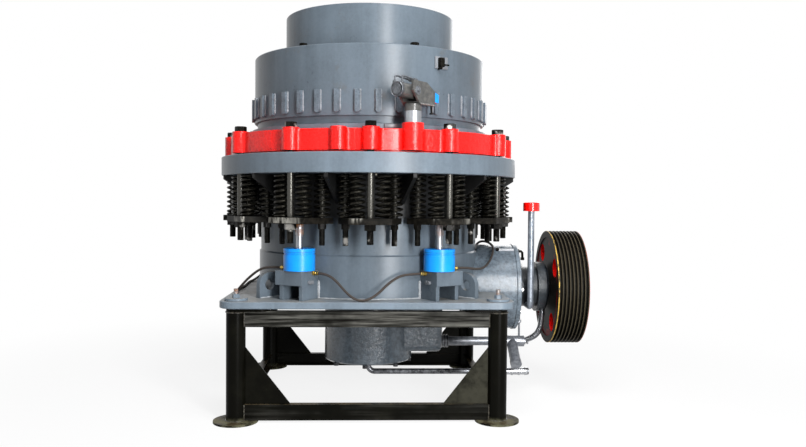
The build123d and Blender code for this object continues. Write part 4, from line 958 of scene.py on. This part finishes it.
class CRUSHER_OT_small_parts(bpy.types.Operator):
    """Adds the cap's bolts and stops, the housing's handle and bolts, and the frame's small fittings"""

    bl_idname = "crusher.small_parts"
    bl_label = "Small parts"

    def execute(self, context):
        dark = black_steel("small_black", 0.5)
        grey = smooth_paint("small_grey", (0.15, 0.16, 0.175))
        self.cap_parts(dark, grey)
        self.housing_parts(dark)
        self.frame_parts(grey)
        self.fitting_collars()
        return {"FINISHED"}

    def cap_parts(self, dark, grey):
        """Bolts round the hopper's foot, the stop on the cap, and key blocks on the clamp ring."""
        shape = bmesh.new()
        washer = 0.006
        for number in range(6):
            place = around(CAP_BOLT_CIRCLE, CAP_BOLT_PHASE + 60 * number, CAP_TOP)
            disc(shape, standing(place), 0.036, washer)
            hexagon(shape, standing(place + UP * washer, turn=0.4 * number), 0.055, 0.032)
        stop = on_wall(CAP_RADIUS, STOP_ANGLE - 1.0, STOP_HEIGHT - 0.001)
        block(shape, stop, 0.034, 0.066, 0.046, 0.003)
        turns = (STOP_ANGLE - 0.4, STOP_ANGLE + 3.3)
        swept(shape, [around(CAP_RADIUS + 0.026, turn, STOP_HEIGHT - 0.014) for turn in turns], 0.006)
        low = around(CAP_RADIUS + 0.008, STOP_ANGLE - 1.7, STOP_HEIGHT - 0.043)
        swept(shape, [low, low + around(0.037, STOP_ANGLE - 1.7)], 0.009)
        add_piece(shape, "cap_bolts", dark, "bowl", "bolt_steel")
        shape = bmesh.new()
        block(shape, on_wall(CAP_RADIUS - 0.001, STOP_ANGLE, STOP_HEIGHT), 0.112, 0.086, 0.010, 0.002)
        add_piece(shape, "cap_stops", grey, "bowl", "cap_paint")
        shape = bmesh.new()
        for number in range(4):
            seat = on_wall(CLAMP_RADIUS - 0.001, KEY_PHASE + 90 * number, CLAMP_TOP - 0.016)
            block(shape, seat, 0.094, 0.030, 0.016, 0.003)
        add_piece(shape, "key_blocks", grey, "ring", "frame_paint")

    def housing_parts(self, dark):
        """Bolts round the nose, the drain plug, the bar handle on top, and the lubrication fitting."""
        shape = bmesh.new()
        washer = 0.004
        for number in range(8):
            turn = radians(45 * number)
            y, z = -NOSE_BOLT_CIRCLE * cos(turn), SHAFT_HEIGHT + NOSE_BOLT_CIRCLE * sin(turn)
            place = Vector((NOSE_START, y, z))
            disc(shape, standing(place, RIGHT), 0.026, washer, 0.001)
            hexagon(shape, standing(place + RIGHT * washer, RIGHT, 0.3 * number), 0.036, 0.022)
        hexagon(shape, standing(DRAIN_PLUG), 0.028, 0.030)
        steel = bare_steel("small_steel", (0.55, 0.55, 0.54), 0.28)
        add_piece(shape, "nose_bolts", steel, "frame", "bolt_steel")
        shape = bmesh.new()
        outward = Vector((0.0, -cos(HANDLE_LEAN), sin(HANDLE_LEAN)))
        handle = outward * (HOUSING_RADIUS - 0.002) + HANDLE_MIDDLE
        block(shape, standing(handle, outward), 0.122, 0.016, 0.018, 0.004)
        # The handle's pale paint is a painted highlight along the bar.
        pale = plain_finish("handle_painted_highlight", (0.42, 0.44, 0.46), (0.60, 0.61, 0.63), 0.3)
        add_piece(shape, "housing_handle", pale, "frame", "frame_paint")
        shape = bmesh.new()
        stub = outward * (HOUSING_RADIUS - 0.004) + STUB_MIDDLE
        disc(shape, standing(stub, outward), 0.013, 0.024)
        hexagon(shape, standing(GREASE_FITTING, RIGHT), 0.030, 0.014)
        elbow = ((0, 0), (0.030, 0), (0.040, -0.010), (0.042, -0.052))
        swept(shape, [GREASE_FITTING + Vector((x, 0, z)) for x, z in elbow], 0.010)
        hexagon(shape, standing(GREASE_FITTING + Vector((0.042, 0, -0.070))), 0.028, 0.022)
        add_piece(shape, "housing_fitting", dark, "frame", "bolt_steel")

    def frame_parts(self, grey):
        """Bolts under the hub cover, rings on the return pipe, plugs of the jack blocks, anchor threads."""
        shape = bmesh.new()
        for number in range(8):
            place = around(COVER_BOLT_CIRCLE, COVER_BOLT_PHASE + 45 * number, COVER_BOTTOM)
            hexagon(shape, standing(place, -UP), 0.036, 0.024)
        for number in range(3):
            along = RETURN_START + 0.010 + SLEEVE_RING_SPACING * number
            turned(shape, standing((along, 0, RETURN_HEIGHT), RIGHT), [
                (0.045, -0.005), (0.052, -0.004), (0.053, 0.0), (0.052, 0.004), (0.045, 0.005)])
        black = plain_finish("cover_black", (0.012, 0.012, 0.013), (0.045, 0.046, 0.050), 0.32, coat=0.4)
        add_piece(shape, "cover_bolts", black, "frame", "bolt_steel")
        shape = bmesh.new()
        for angle in JACK_ANGLES:
            inward = 1 if sin(radians(2 * angle)) < 0 else -1
            for outward in (0.954, 0.982):
                place = across(angle, outward, inward * (BLOCK_INNER_SIDE - 0.001), BLOCK_TOP - 0.081)
                hexagon(shape, standing(place, across(angle, 0.0, inward)), 0.025, 0.020)
        add_piece(shape, "block_plugs", grey, "frame", "frame_paint")
        shape = bmesh.new()
        top = ANCHOR_TOP + 0.0005
        profile = thread_profile(ANCHOR_RADIUS + 0.0008, ANCHOR_TOP - 0.034, top, 0.004, 0.0009)
        for leg in corner_places():
            turned(shape, Matrix.Translation(leg), profile[1:] + [(0.0, top)], 16)
        steel = bare_steel("anchor_steel", (0.46, 0.40, 0.36), 0.3, 0.9)
        add_piece(shape, "anchor_threads", steel, "frame", "bolt_steel")

    def fitting_collars(self):
        """Hexagon and crimped sleeve on each hose fitting."""
        left, right, back_right, back_left = JACK_ANGLES
        front_height = JACK_BOTTOM - 0.019
        side_height = JACK_BOTTOM + 0.0135
        seats = (
            (left, FRONT_FITTING_REACH, 1, BLOCK_INNER_SIDE, front_height),
            (right, FRONT_FITTING_REACH, -1, BLOCK_INNER_SIDE, front_height),
            (left, JACK_CIRCLE, -1, JACK_RADIUS, side_height),
            (back_left, JACK_CIRCLE, 1, JACK_RADIUS, side_height),
            (right, JACK_CIRCLE, 1, JACK_RADIUS, side_height),
            (back_right, JACK_CIRCLE, -1, JACK_RADIUS, side_height),
        )
        shape = bmesh.new()
        for angle, outward, side, start, height in seats:
            place = across(angle, outward, side * start, height)
            way = across(angle, 0.0, side)
            hexagon(shape, standing(place, way), 0.031, 0.012, 0.002)
            turned(shape, standing(place + way * 0.018, way), [
                (0.0118, 0.0), (0.0140, 0.002), (0.0140, 0.010), (0.0120, 0.012), (0.0135, 0.014),
                (0.0135, 0.025), (0.0100, 0.0275), (0.0085, 0.0275)], 16)
        add_piece(shape, "fitting_collars", bpy.data.materials["brass"], "frame", "brass_fitting")


def route_curve(name, route, steps):
    """Curve of one smooth NURBS line along a route."""
    curve = bpy.data.curves.new(name, "CURVE")
    curve.dimensions = "3D"
    curve.resolution_u = steps
    line = curve.splines.new("NURBS")
    line.points.add(len(route) - 1)
    for point, place in zip(line.points, route):
        point.co = (*place, 1.0)
    line.order_u = 3
    line.use_endpoint_u = True
    return curve


def points_along(route, steps):
    """Places along the smooth line of a route."""
    curve = route_curve("route", route, steps)
    holder = bpy.data.objects.new("route", curve)
    mesh = bpy.data.meshes.new_from_object(holder)
    places = [vert.co.copy() for vert in mesh.vertices]
    bpy.data.meshes.remove(mesh)
    bpy.data.objects.remove(holder)
    bpy.data.curves.remove(curve)
    return places


# The points of the drain riser, the same as in the CAD model
RISER_POINTS = (
    (TEE_END - 0.020, 0.0, RETURN_HEIGHT),
    (1.345, -0.025, RETURN_HEIGHT + 0.025),
    (1.398, -0.080, RETURN_HEIGHT + 0.139),
    (1.398, -0.080, SHAFT_HEIGHT - 0.150),
)
RISER_STEPS = 40
RISER_RADIUS = 0.024
RIB_DEPTH = 0.005


class CRUSHER_OT_pipes(bpy.types.Operator):
    """Adds the ribbed drain riser and the collars of the inlet connector"""

    bl_idname = "crusher.pipes"
    bl_label = "Pipes"

    def execute(self, context):
        shape = bmesh.new()
        route = points_along(RISER_POINTS, RISER_STEPS)
        swept(shape, route, [RISER_RADIUS - RIB_DEPTH * (number % 2) for number in range(len(route))], 14)
        for along, radius in ((0.008, 0.029), (0.030, 0.027)):
            turned(shape, standing((TEE_END + along, 0.0, RETURN_HEIGHT), RIGHT), [
                (0.021, -0.006), (radius, -0.005), (radius, 0.005), (0.021, 0.006)])
        steel = bare_steel("riser_steel", (0.42, 0.43, 0.45), 0.24)
        add_piece(shape, "riser_hose", steel, "frame", "pipe_grey", "drain_riser")
        shape = bmesh.new()
        turned(shape, standing((INLET_END - 0.195, 0, INLET_HEIGHT), RIGHT), [
            (0.0285, 0.0), (0.0315, 0.002), (0.0315, 0.016), (0.0285, 0.018), (0.0285, 0.050),
            (0.0330, 0.053), (0.0330, 0.066), (0.0285, 0.069), (0.0285, 0.108), (0.0330, 0.111),
            (0.0330, 0.122), (0.0285, 0.125), (0.0285, 0.160), (0.0325, 0.164), (0.0325, 0.180),
            (0.0300, 0.186), (0.0285, 0.186)])
        steel = bare_steel("collar_steel", (0.50, 0.51, 0.53), 0.22)
        add_piece(shape, "inlet_collars", steel, "frame", "pipe_grey")
        return {"FINISHED"}


PUSHER_FORWARD = Vector((cos(PUSHER_DIRECTION), sin(PUSHER_DIRECTION), 0.0))
PUSHER_SIDE = Vector((sin(PUSHER_DIRECTION), -cos(PUSHER_DIRECTION), 0.0))
PIVOT_PLACE = -0.045
PIVOT_SIDE = 0.071
PIVOT_PLATE = 0.006
YOKE_SIDE = 0.070


def pusher_place(along, sideways, rise):
    """Place on the pusher: along its ram, sideways towards the front, and above its axis."""
    post = around(POST_CIRCLE, POST_ANGLE)
    return post + PUSHER_FORWARD * along + PUSHER_SIDE * sideways + UP * (RAM_HEIGHT + rise)


class CRUSHER_OT_pusher_trim(bpy.types.Operator):
    """Adds the tubes, the pivot plates, the hanging pin and the weld beads of the pusher"""

    bl_idname = "crusher.pusher_trim"
    bl_label = "Pusher trim"

    def execute(self, context):
        shape = bmesh.new()
        for offset, back in ((-0.030, -0.165), (0.004, -0.130)):
            foot = pusher_place(back, offset, 0.035)
            knee = pusher_place(0.020, offset, 0.082)
            hexagon(shape, standing(foot), 0.026, 0.022, 0.002)
            route = points_along((
                foot + UP * 0.010, foot + UP * 0.050, foot + UP * 0.060 + PUSHER_FORWARD * 0.012, knee,
                pusher_place(0.120, offset * 0.5, 0.060), pusher_place(0.158, offset * 0.5, 0.028),
            ), 8)
            swept(shape, route, 0.0065)
            hexagon(shape, standing(knee - PUSHER_FORWARD * 0.02, PUSHER_FORWARD), 0.022, 0.030, 0.002)
        for side in (-1, 1):
            pivot = pusher_place(PIVOT_PLACE, side * PIVOT_SIDE, 0.0)
            nut = pusher_place(PIVOT_PLACE, side * (PIVOT_SIDE + PIVOT_PLATE), 0.0)
            disc(shape, standing(pivot, PUSHER_SIDE * side), 0.030, PIVOT_PLATE)
            hexagon(shape, standing(nut, PUSHER_SIDE * side), 0.024, 0.008)
        turned(shape, standing(pusher_place(-0.181, 0.0, 0.0), -PUSHER_FORWARD), [
            (0.0, 0.004), (0.034, 0.004), (0.036, 0.0), (0.044, 0.0), (0.0475, 0.003), (0.0505, 0.0),
            (0.0505, -0.020), (0.049, -0.022)])
        finish = plain_finish("tube_grey", (0.055, 0.060, 0.068), (0.13, 0.14, 0.155), 0.30, 0.3, 0.3)
        add_piece(shape, "pusher_tubes", finish, "pusher", "pusher_grey")
        shape = bmesh.new()
        pin = pusher_place(0.212, 0.0, -0.046)
        swept(shape, line_between(pin, pin - UP * 0.082, 6), 0.0065)
        disc(shape, standing(pin - UP * 0.086), 0.013, 0.010)
        disc(shape, standing(pin - UP * 0.030), 0.011, 0.008)
        add_piece(shape, "pusher_pin", black_steel("pin_black"), "pusher", "bolt_steel")
        shape = bmesh.new()
        disc(shape, standing(pusher_place(0.236, 0.010, -0.0485), -UP), 0.010, 0.008)
        add_piece(shape, "pusher_plug", bpy.data.materials["cap_red"], "pusher", "ring_red")
        shape = bmesh.new()
        bottom = POST_TOP + 0.0465 - RAM_HEIGHT
        draw = Random(5)
        for side in (-YOKE_SIDE, YOKE_SIDE):
            ends = [pusher_place(along, side, bottom) for along in (-0.018, 0.150)]
            bead(shape, line_between(*ends, 26), 0.006, draw)
        finish = plain_finish("yoke_bead", (0.05, 0.05, 0.048), (0.22, 0.22, 0.21), 0.3, coat=0.4, scale=90.0)
        add_piece(shape, "yoke_welds", finish, "pusher", "pusher_grey")
        return {"FINISHED"}


# Each hose: its length, and the points that it follows, the same as in the CAD model, in metres
HOSES = {
    "hose_front": (0.865, (
        (-0.34522, -0.8727, 1.026), (-0.29202, -0.90255, 1.026), (-0.222, -0.930, 0.985),
        (-0.150, -0.962, 0.903), (-0.080, -0.986, 0.8515), (-0.010, -0.992, 0.8515),
        (0.062, -0.972, 0.888), (0.140, -0.942, 0.965), (0.225, -0.915, 1.017),
        (0.30883, -0.89821, 1.026), (0.36644, -0.86401, 1.026),
    )),
    "hose_right": (1.821, (
        (0.63261, -0.76179, 1.0585), (0.6971, -0.7235, 1.0585), (0.777, -0.650, 1.042),
        (0.850, -0.540, 1.038), (0.910, -0.410, 1.063), (0.960, -0.290, 1.125),
        (0.985, -0.165, 1.182), (0.955, -0.030, 1.214), (0.905, 0.105, 1.208),
        (0.880, 0.235, 1.138), (0.862, 0.365, 1.058), (0.820, 0.500, 1.036),
        (0.755, 0.622, 1.040), (0.68358, 0.73786, 1.0585), (0.61381, 0.77701, 1.0585),
    )),
    "hose_left": (1.977, (
        (-0.61381, -0.77701, 1.0585), (-0.67922, -0.74031, 1.0585), (-0.768, -0.680, 1.044),
        (-0.860, -0.620, 0.975), (-0.935, -0.545, 0.898), (-0.980, -0.440, 0.8515),
        (-0.990, -0.300, 0.8515), (-0.976, -0.120, 0.8515), (-0.988, 0.075, 0.8515),
        (-0.996, 0.260, 0.8515), (-0.975, 0.425, 0.8515), (-0.930, 0.540, 0.893),
        (-0.858, 0.620, 0.972), (-0.775, 0.682, 1.042), (-0.6971, 0.7235, 1.0585),
        (-0.63261, 0.76179, 1.0585),
    )),
}


class CRUSHER_OT_hoses(bpy.types.Operator):
    """Adds the hoses between the jacks"""

    bl_idname = "crusher.hoses"
    bl_label = "Hoses"

    def execute(self, context):
        width = context.scene.crusher_sizes.hose
        for name, (length, route) in HOSES.items():
            curve = route_curve(f"jack_{name}", route, 10)
            curve.bevel_depth = width / 2
            curve.bevel_resolution = 4
            curve.use_fill_caps = True
            curve.materials.append(bpy.data.materials["hose_rubber"])
            hose = bpy.data.objects.new(f"jack_{name}", curve)
            context.scene.collection.objects.link(hose)
            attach(hose, "frame")
            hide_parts(name)
        return {"FINISHED"}


# The camera, from the photograph's own perspective
CAMERA_PLACE = Vector((0.0308, -6.3096, 1.5297))
CAMERA_YAW = radians(2.21)
CAMERA_PITCH = radians(-1.61)
CAMERA_ROLL = radians(0.47)
FOCAL_PIXELS = 781.72
PICTURE_WIDTH = 806
SENSOR_WIDTH = 36.0


def add_camera(scene):
    """Camera at the photograph's place, turned by its yaw and pitch and then rolled."""
    data = bpy.data.cameras.new("camera")
    data.sensor_width = SENSOR_WIDTH
    data.lens = FOCAL_PIXELS / PICTURE_WIDTH * SENSOR_WIDTH
    data.clip_end = 200.0
    forward = Vector((
        sin(CAMERA_YAW) * cos(CAMERA_PITCH),
        cos(CAMERA_YAW) * cos(CAMERA_PITCH),
        sin(CAMERA_PITCH),
    ))
    level_right = Vector((cos(CAMERA_YAW), -sin(CAMERA_YAW), 0.0))
    level_up = level_right.cross(forward)
    right = cos(CAMERA_ROLL) * level_right + sin(CAMERA_ROLL) * level_up
    up = -sin(CAMERA_ROLL) * level_right + cos(CAMERA_ROLL) * level_up
    camera = bpy.data.objects.new("camera", data)
    turn = Matrix((right, up, -forward)).transposed().to_4x4()
    camera.matrix_world = Matrix.Translation(CAMERA_PLACE) @ turn
    scene.collection.objects.link(camera)
    scene.camera = camera


# Each lamp: its place, what it points at, its width and height in metres, and its power in watts
LAMPS = {
    "tall_softbox": ((2.36, -6.2, 2.3), (0.0, 0.0, 1.6), 1.0, 4.6, 580),
    "front_left": ((-3.4, -5.8, 3.2), (0.0, 0.0, 1.6), 2.6, 3.0, 16),
    "top_softbox": ((0.3, -3.0, 6.0), (0.0, 0.0, 1.5), 3.2, 2.2, 290),
    "back_softbox": ((2.5, 6.0, 3.6), (0.0, 0.0, 1.5), 4.0, 3.0, 110),
}
FRONT_LIGHT = (0.105, 0.112, 0.122)
SIDE_LIGHT = (0.030, 0.025, 0.015)
WHITE = (1.0, 1.0, 1.0)


def add_lamps(scene):
    """Soft boxes round the machine, each turned to its target."""
    for name, (place, target, width, height, power) in LAMPS.items():
        data = bpy.data.lights.new(name, "AREA")
        data.shape = "RECTANGLE"
        data.size = width
        data.size_y = height
        data.energy = power
        lamp = bpy.data.objects.new(name, data)
        lamp.location = place
        lamp.rotation_euler = (Vector(target) - Vector(place)).to_track_quat("-Z", "Y").to_euler()
        scene.collection.objects.link(lamp)


def add_world(scene):
    """White backdrop; the light that it gives the object is darker from its two sides."""
    world = bpy.data.worlds.new("studio")
    world.use_nodes = True
    studio = Nodes(world.node_tree)
    way = studio.node("ShaderNodeTexCoord", {}, {}, "Generated")
    sideways = studio.maths("ABSOLUTE", studio.part("X", way))
    light = studio.blend(FRONT_LIGHT, SIDE_LIGHT, studio.between(sideways, 0.45, 0.95))
    background = world.node_tree.nodes["Background"]
    studio.feed(background.inputs["Color"], studio.blend(light, WHITE, studio.seen()))
    scene.world = world


FLOOR_SIZE = 60.0
SHADOW_REACH = (1.5, 5.0)
FLOOR_GLOW = 0.84


def add_floor(scene):
    """Pale floor that keeps the shadow below the machine and goes over into the white backdrop."""
    grid = bmesh.new()
    bmesh.ops.create_grid(grid, x_segments=1, y_segments=1, size=FLOOR_SIZE)
    mesh = bpy.data.meshes.new("floor")
    grid.to_mesh(mesh)
    grid.free()
    floor = bpy.data.objects.new("floor", mesh)
    scene.collection.objects.link(floor)
    finish = Finish("floor_white")
    seen = finish.seen()
    finish.skin(finish.blend((0.30, 0.30, 0.30), (0.88, 0.88, 0.88), seen), 0.9)
    away = finish.between(finish.from_point(0.0, 0.0, None), *SHADOW_REACH)
    white = finish.node("ShaderNodeEmission", {}, {})
    pale = Value(finish, finish.shader.outputs[0])
    glow = seen * (away * (1.0 - FLOOR_GLOW) + FLOOR_GLOW)
    finish.feed(finish.output.inputs[0], finish.node("ShaderNodeMixShader", {}, {0: glow, 1: pale, 2: white}))
    mesh.materials.append(finish.material)


class CRUSHER_OT_stage(bpy.types.Operator):
    """Adds the camera, the lamps, the floor and the backdrop"""

    bl_idname = "crusher.stage"
    bl_label = "Stage"

    def execute(self, context):
        scene = context.scene
        scene.view_settings.view_transform = "Standard"
        add_camera(scene)
        add_lamps(scene)
        add_world(scene)
        add_floor(scene)
        return {"FINISHED"}


OPERATORS = (
    CRUSHER_OT_stage,
    CRUSHER_OT_finishes,
    CRUSHER_OT_hoses,
    CRUSHER_OT_springs,
    CRUSHER_OT_bolts,
    CRUSHER_OT_welds,
    CRUSHER_OT_small_parts,
    CRUSHER_OT_pipes,
    CRUSHER_OT_pusher_trim,
)


class CRUSHER_PT_panel(bpy.types.Panel):
    """Lists the crusher's pieces in the sidebar"""

    bl_label = "Crusher"
    bl_space_type = "VIEW_3D"
    bl_region_type = "UI"
    bl_category = "Crusher"

    def draw(self, context):
        for operator in OPERATORS:
            self.layout.operator(operator.bl_idname)


CLASSES = (CrusherSizes, CrusherColours, *OPERATORS, CRUSHER_PT_panel)


def register():
    for item in CLASSES:
        bpy.utils.register_class(item)
    bpy.types.Scene.crusher_sizes = bpy.props.PointerProperty(type=CrusherSizes)
    bpy.types.Scene.crusher_colours = bpy.props.PointerProperty(type=CrusherColours)


def unregister():
    del bpy.types.Scene.crusher_colours
    del bpy.types.Scene.crusher_sizes
    for item in reversed(CLASSES):
        bpy.utils.unregister_class(item)


def main():
    register()
    for operator in OPERATORS:
        group, name = operator.bl_idname.split(".")
        getattr(getattr(bpy.ops, group), name)()


if __name__ == "__main__":
    main()
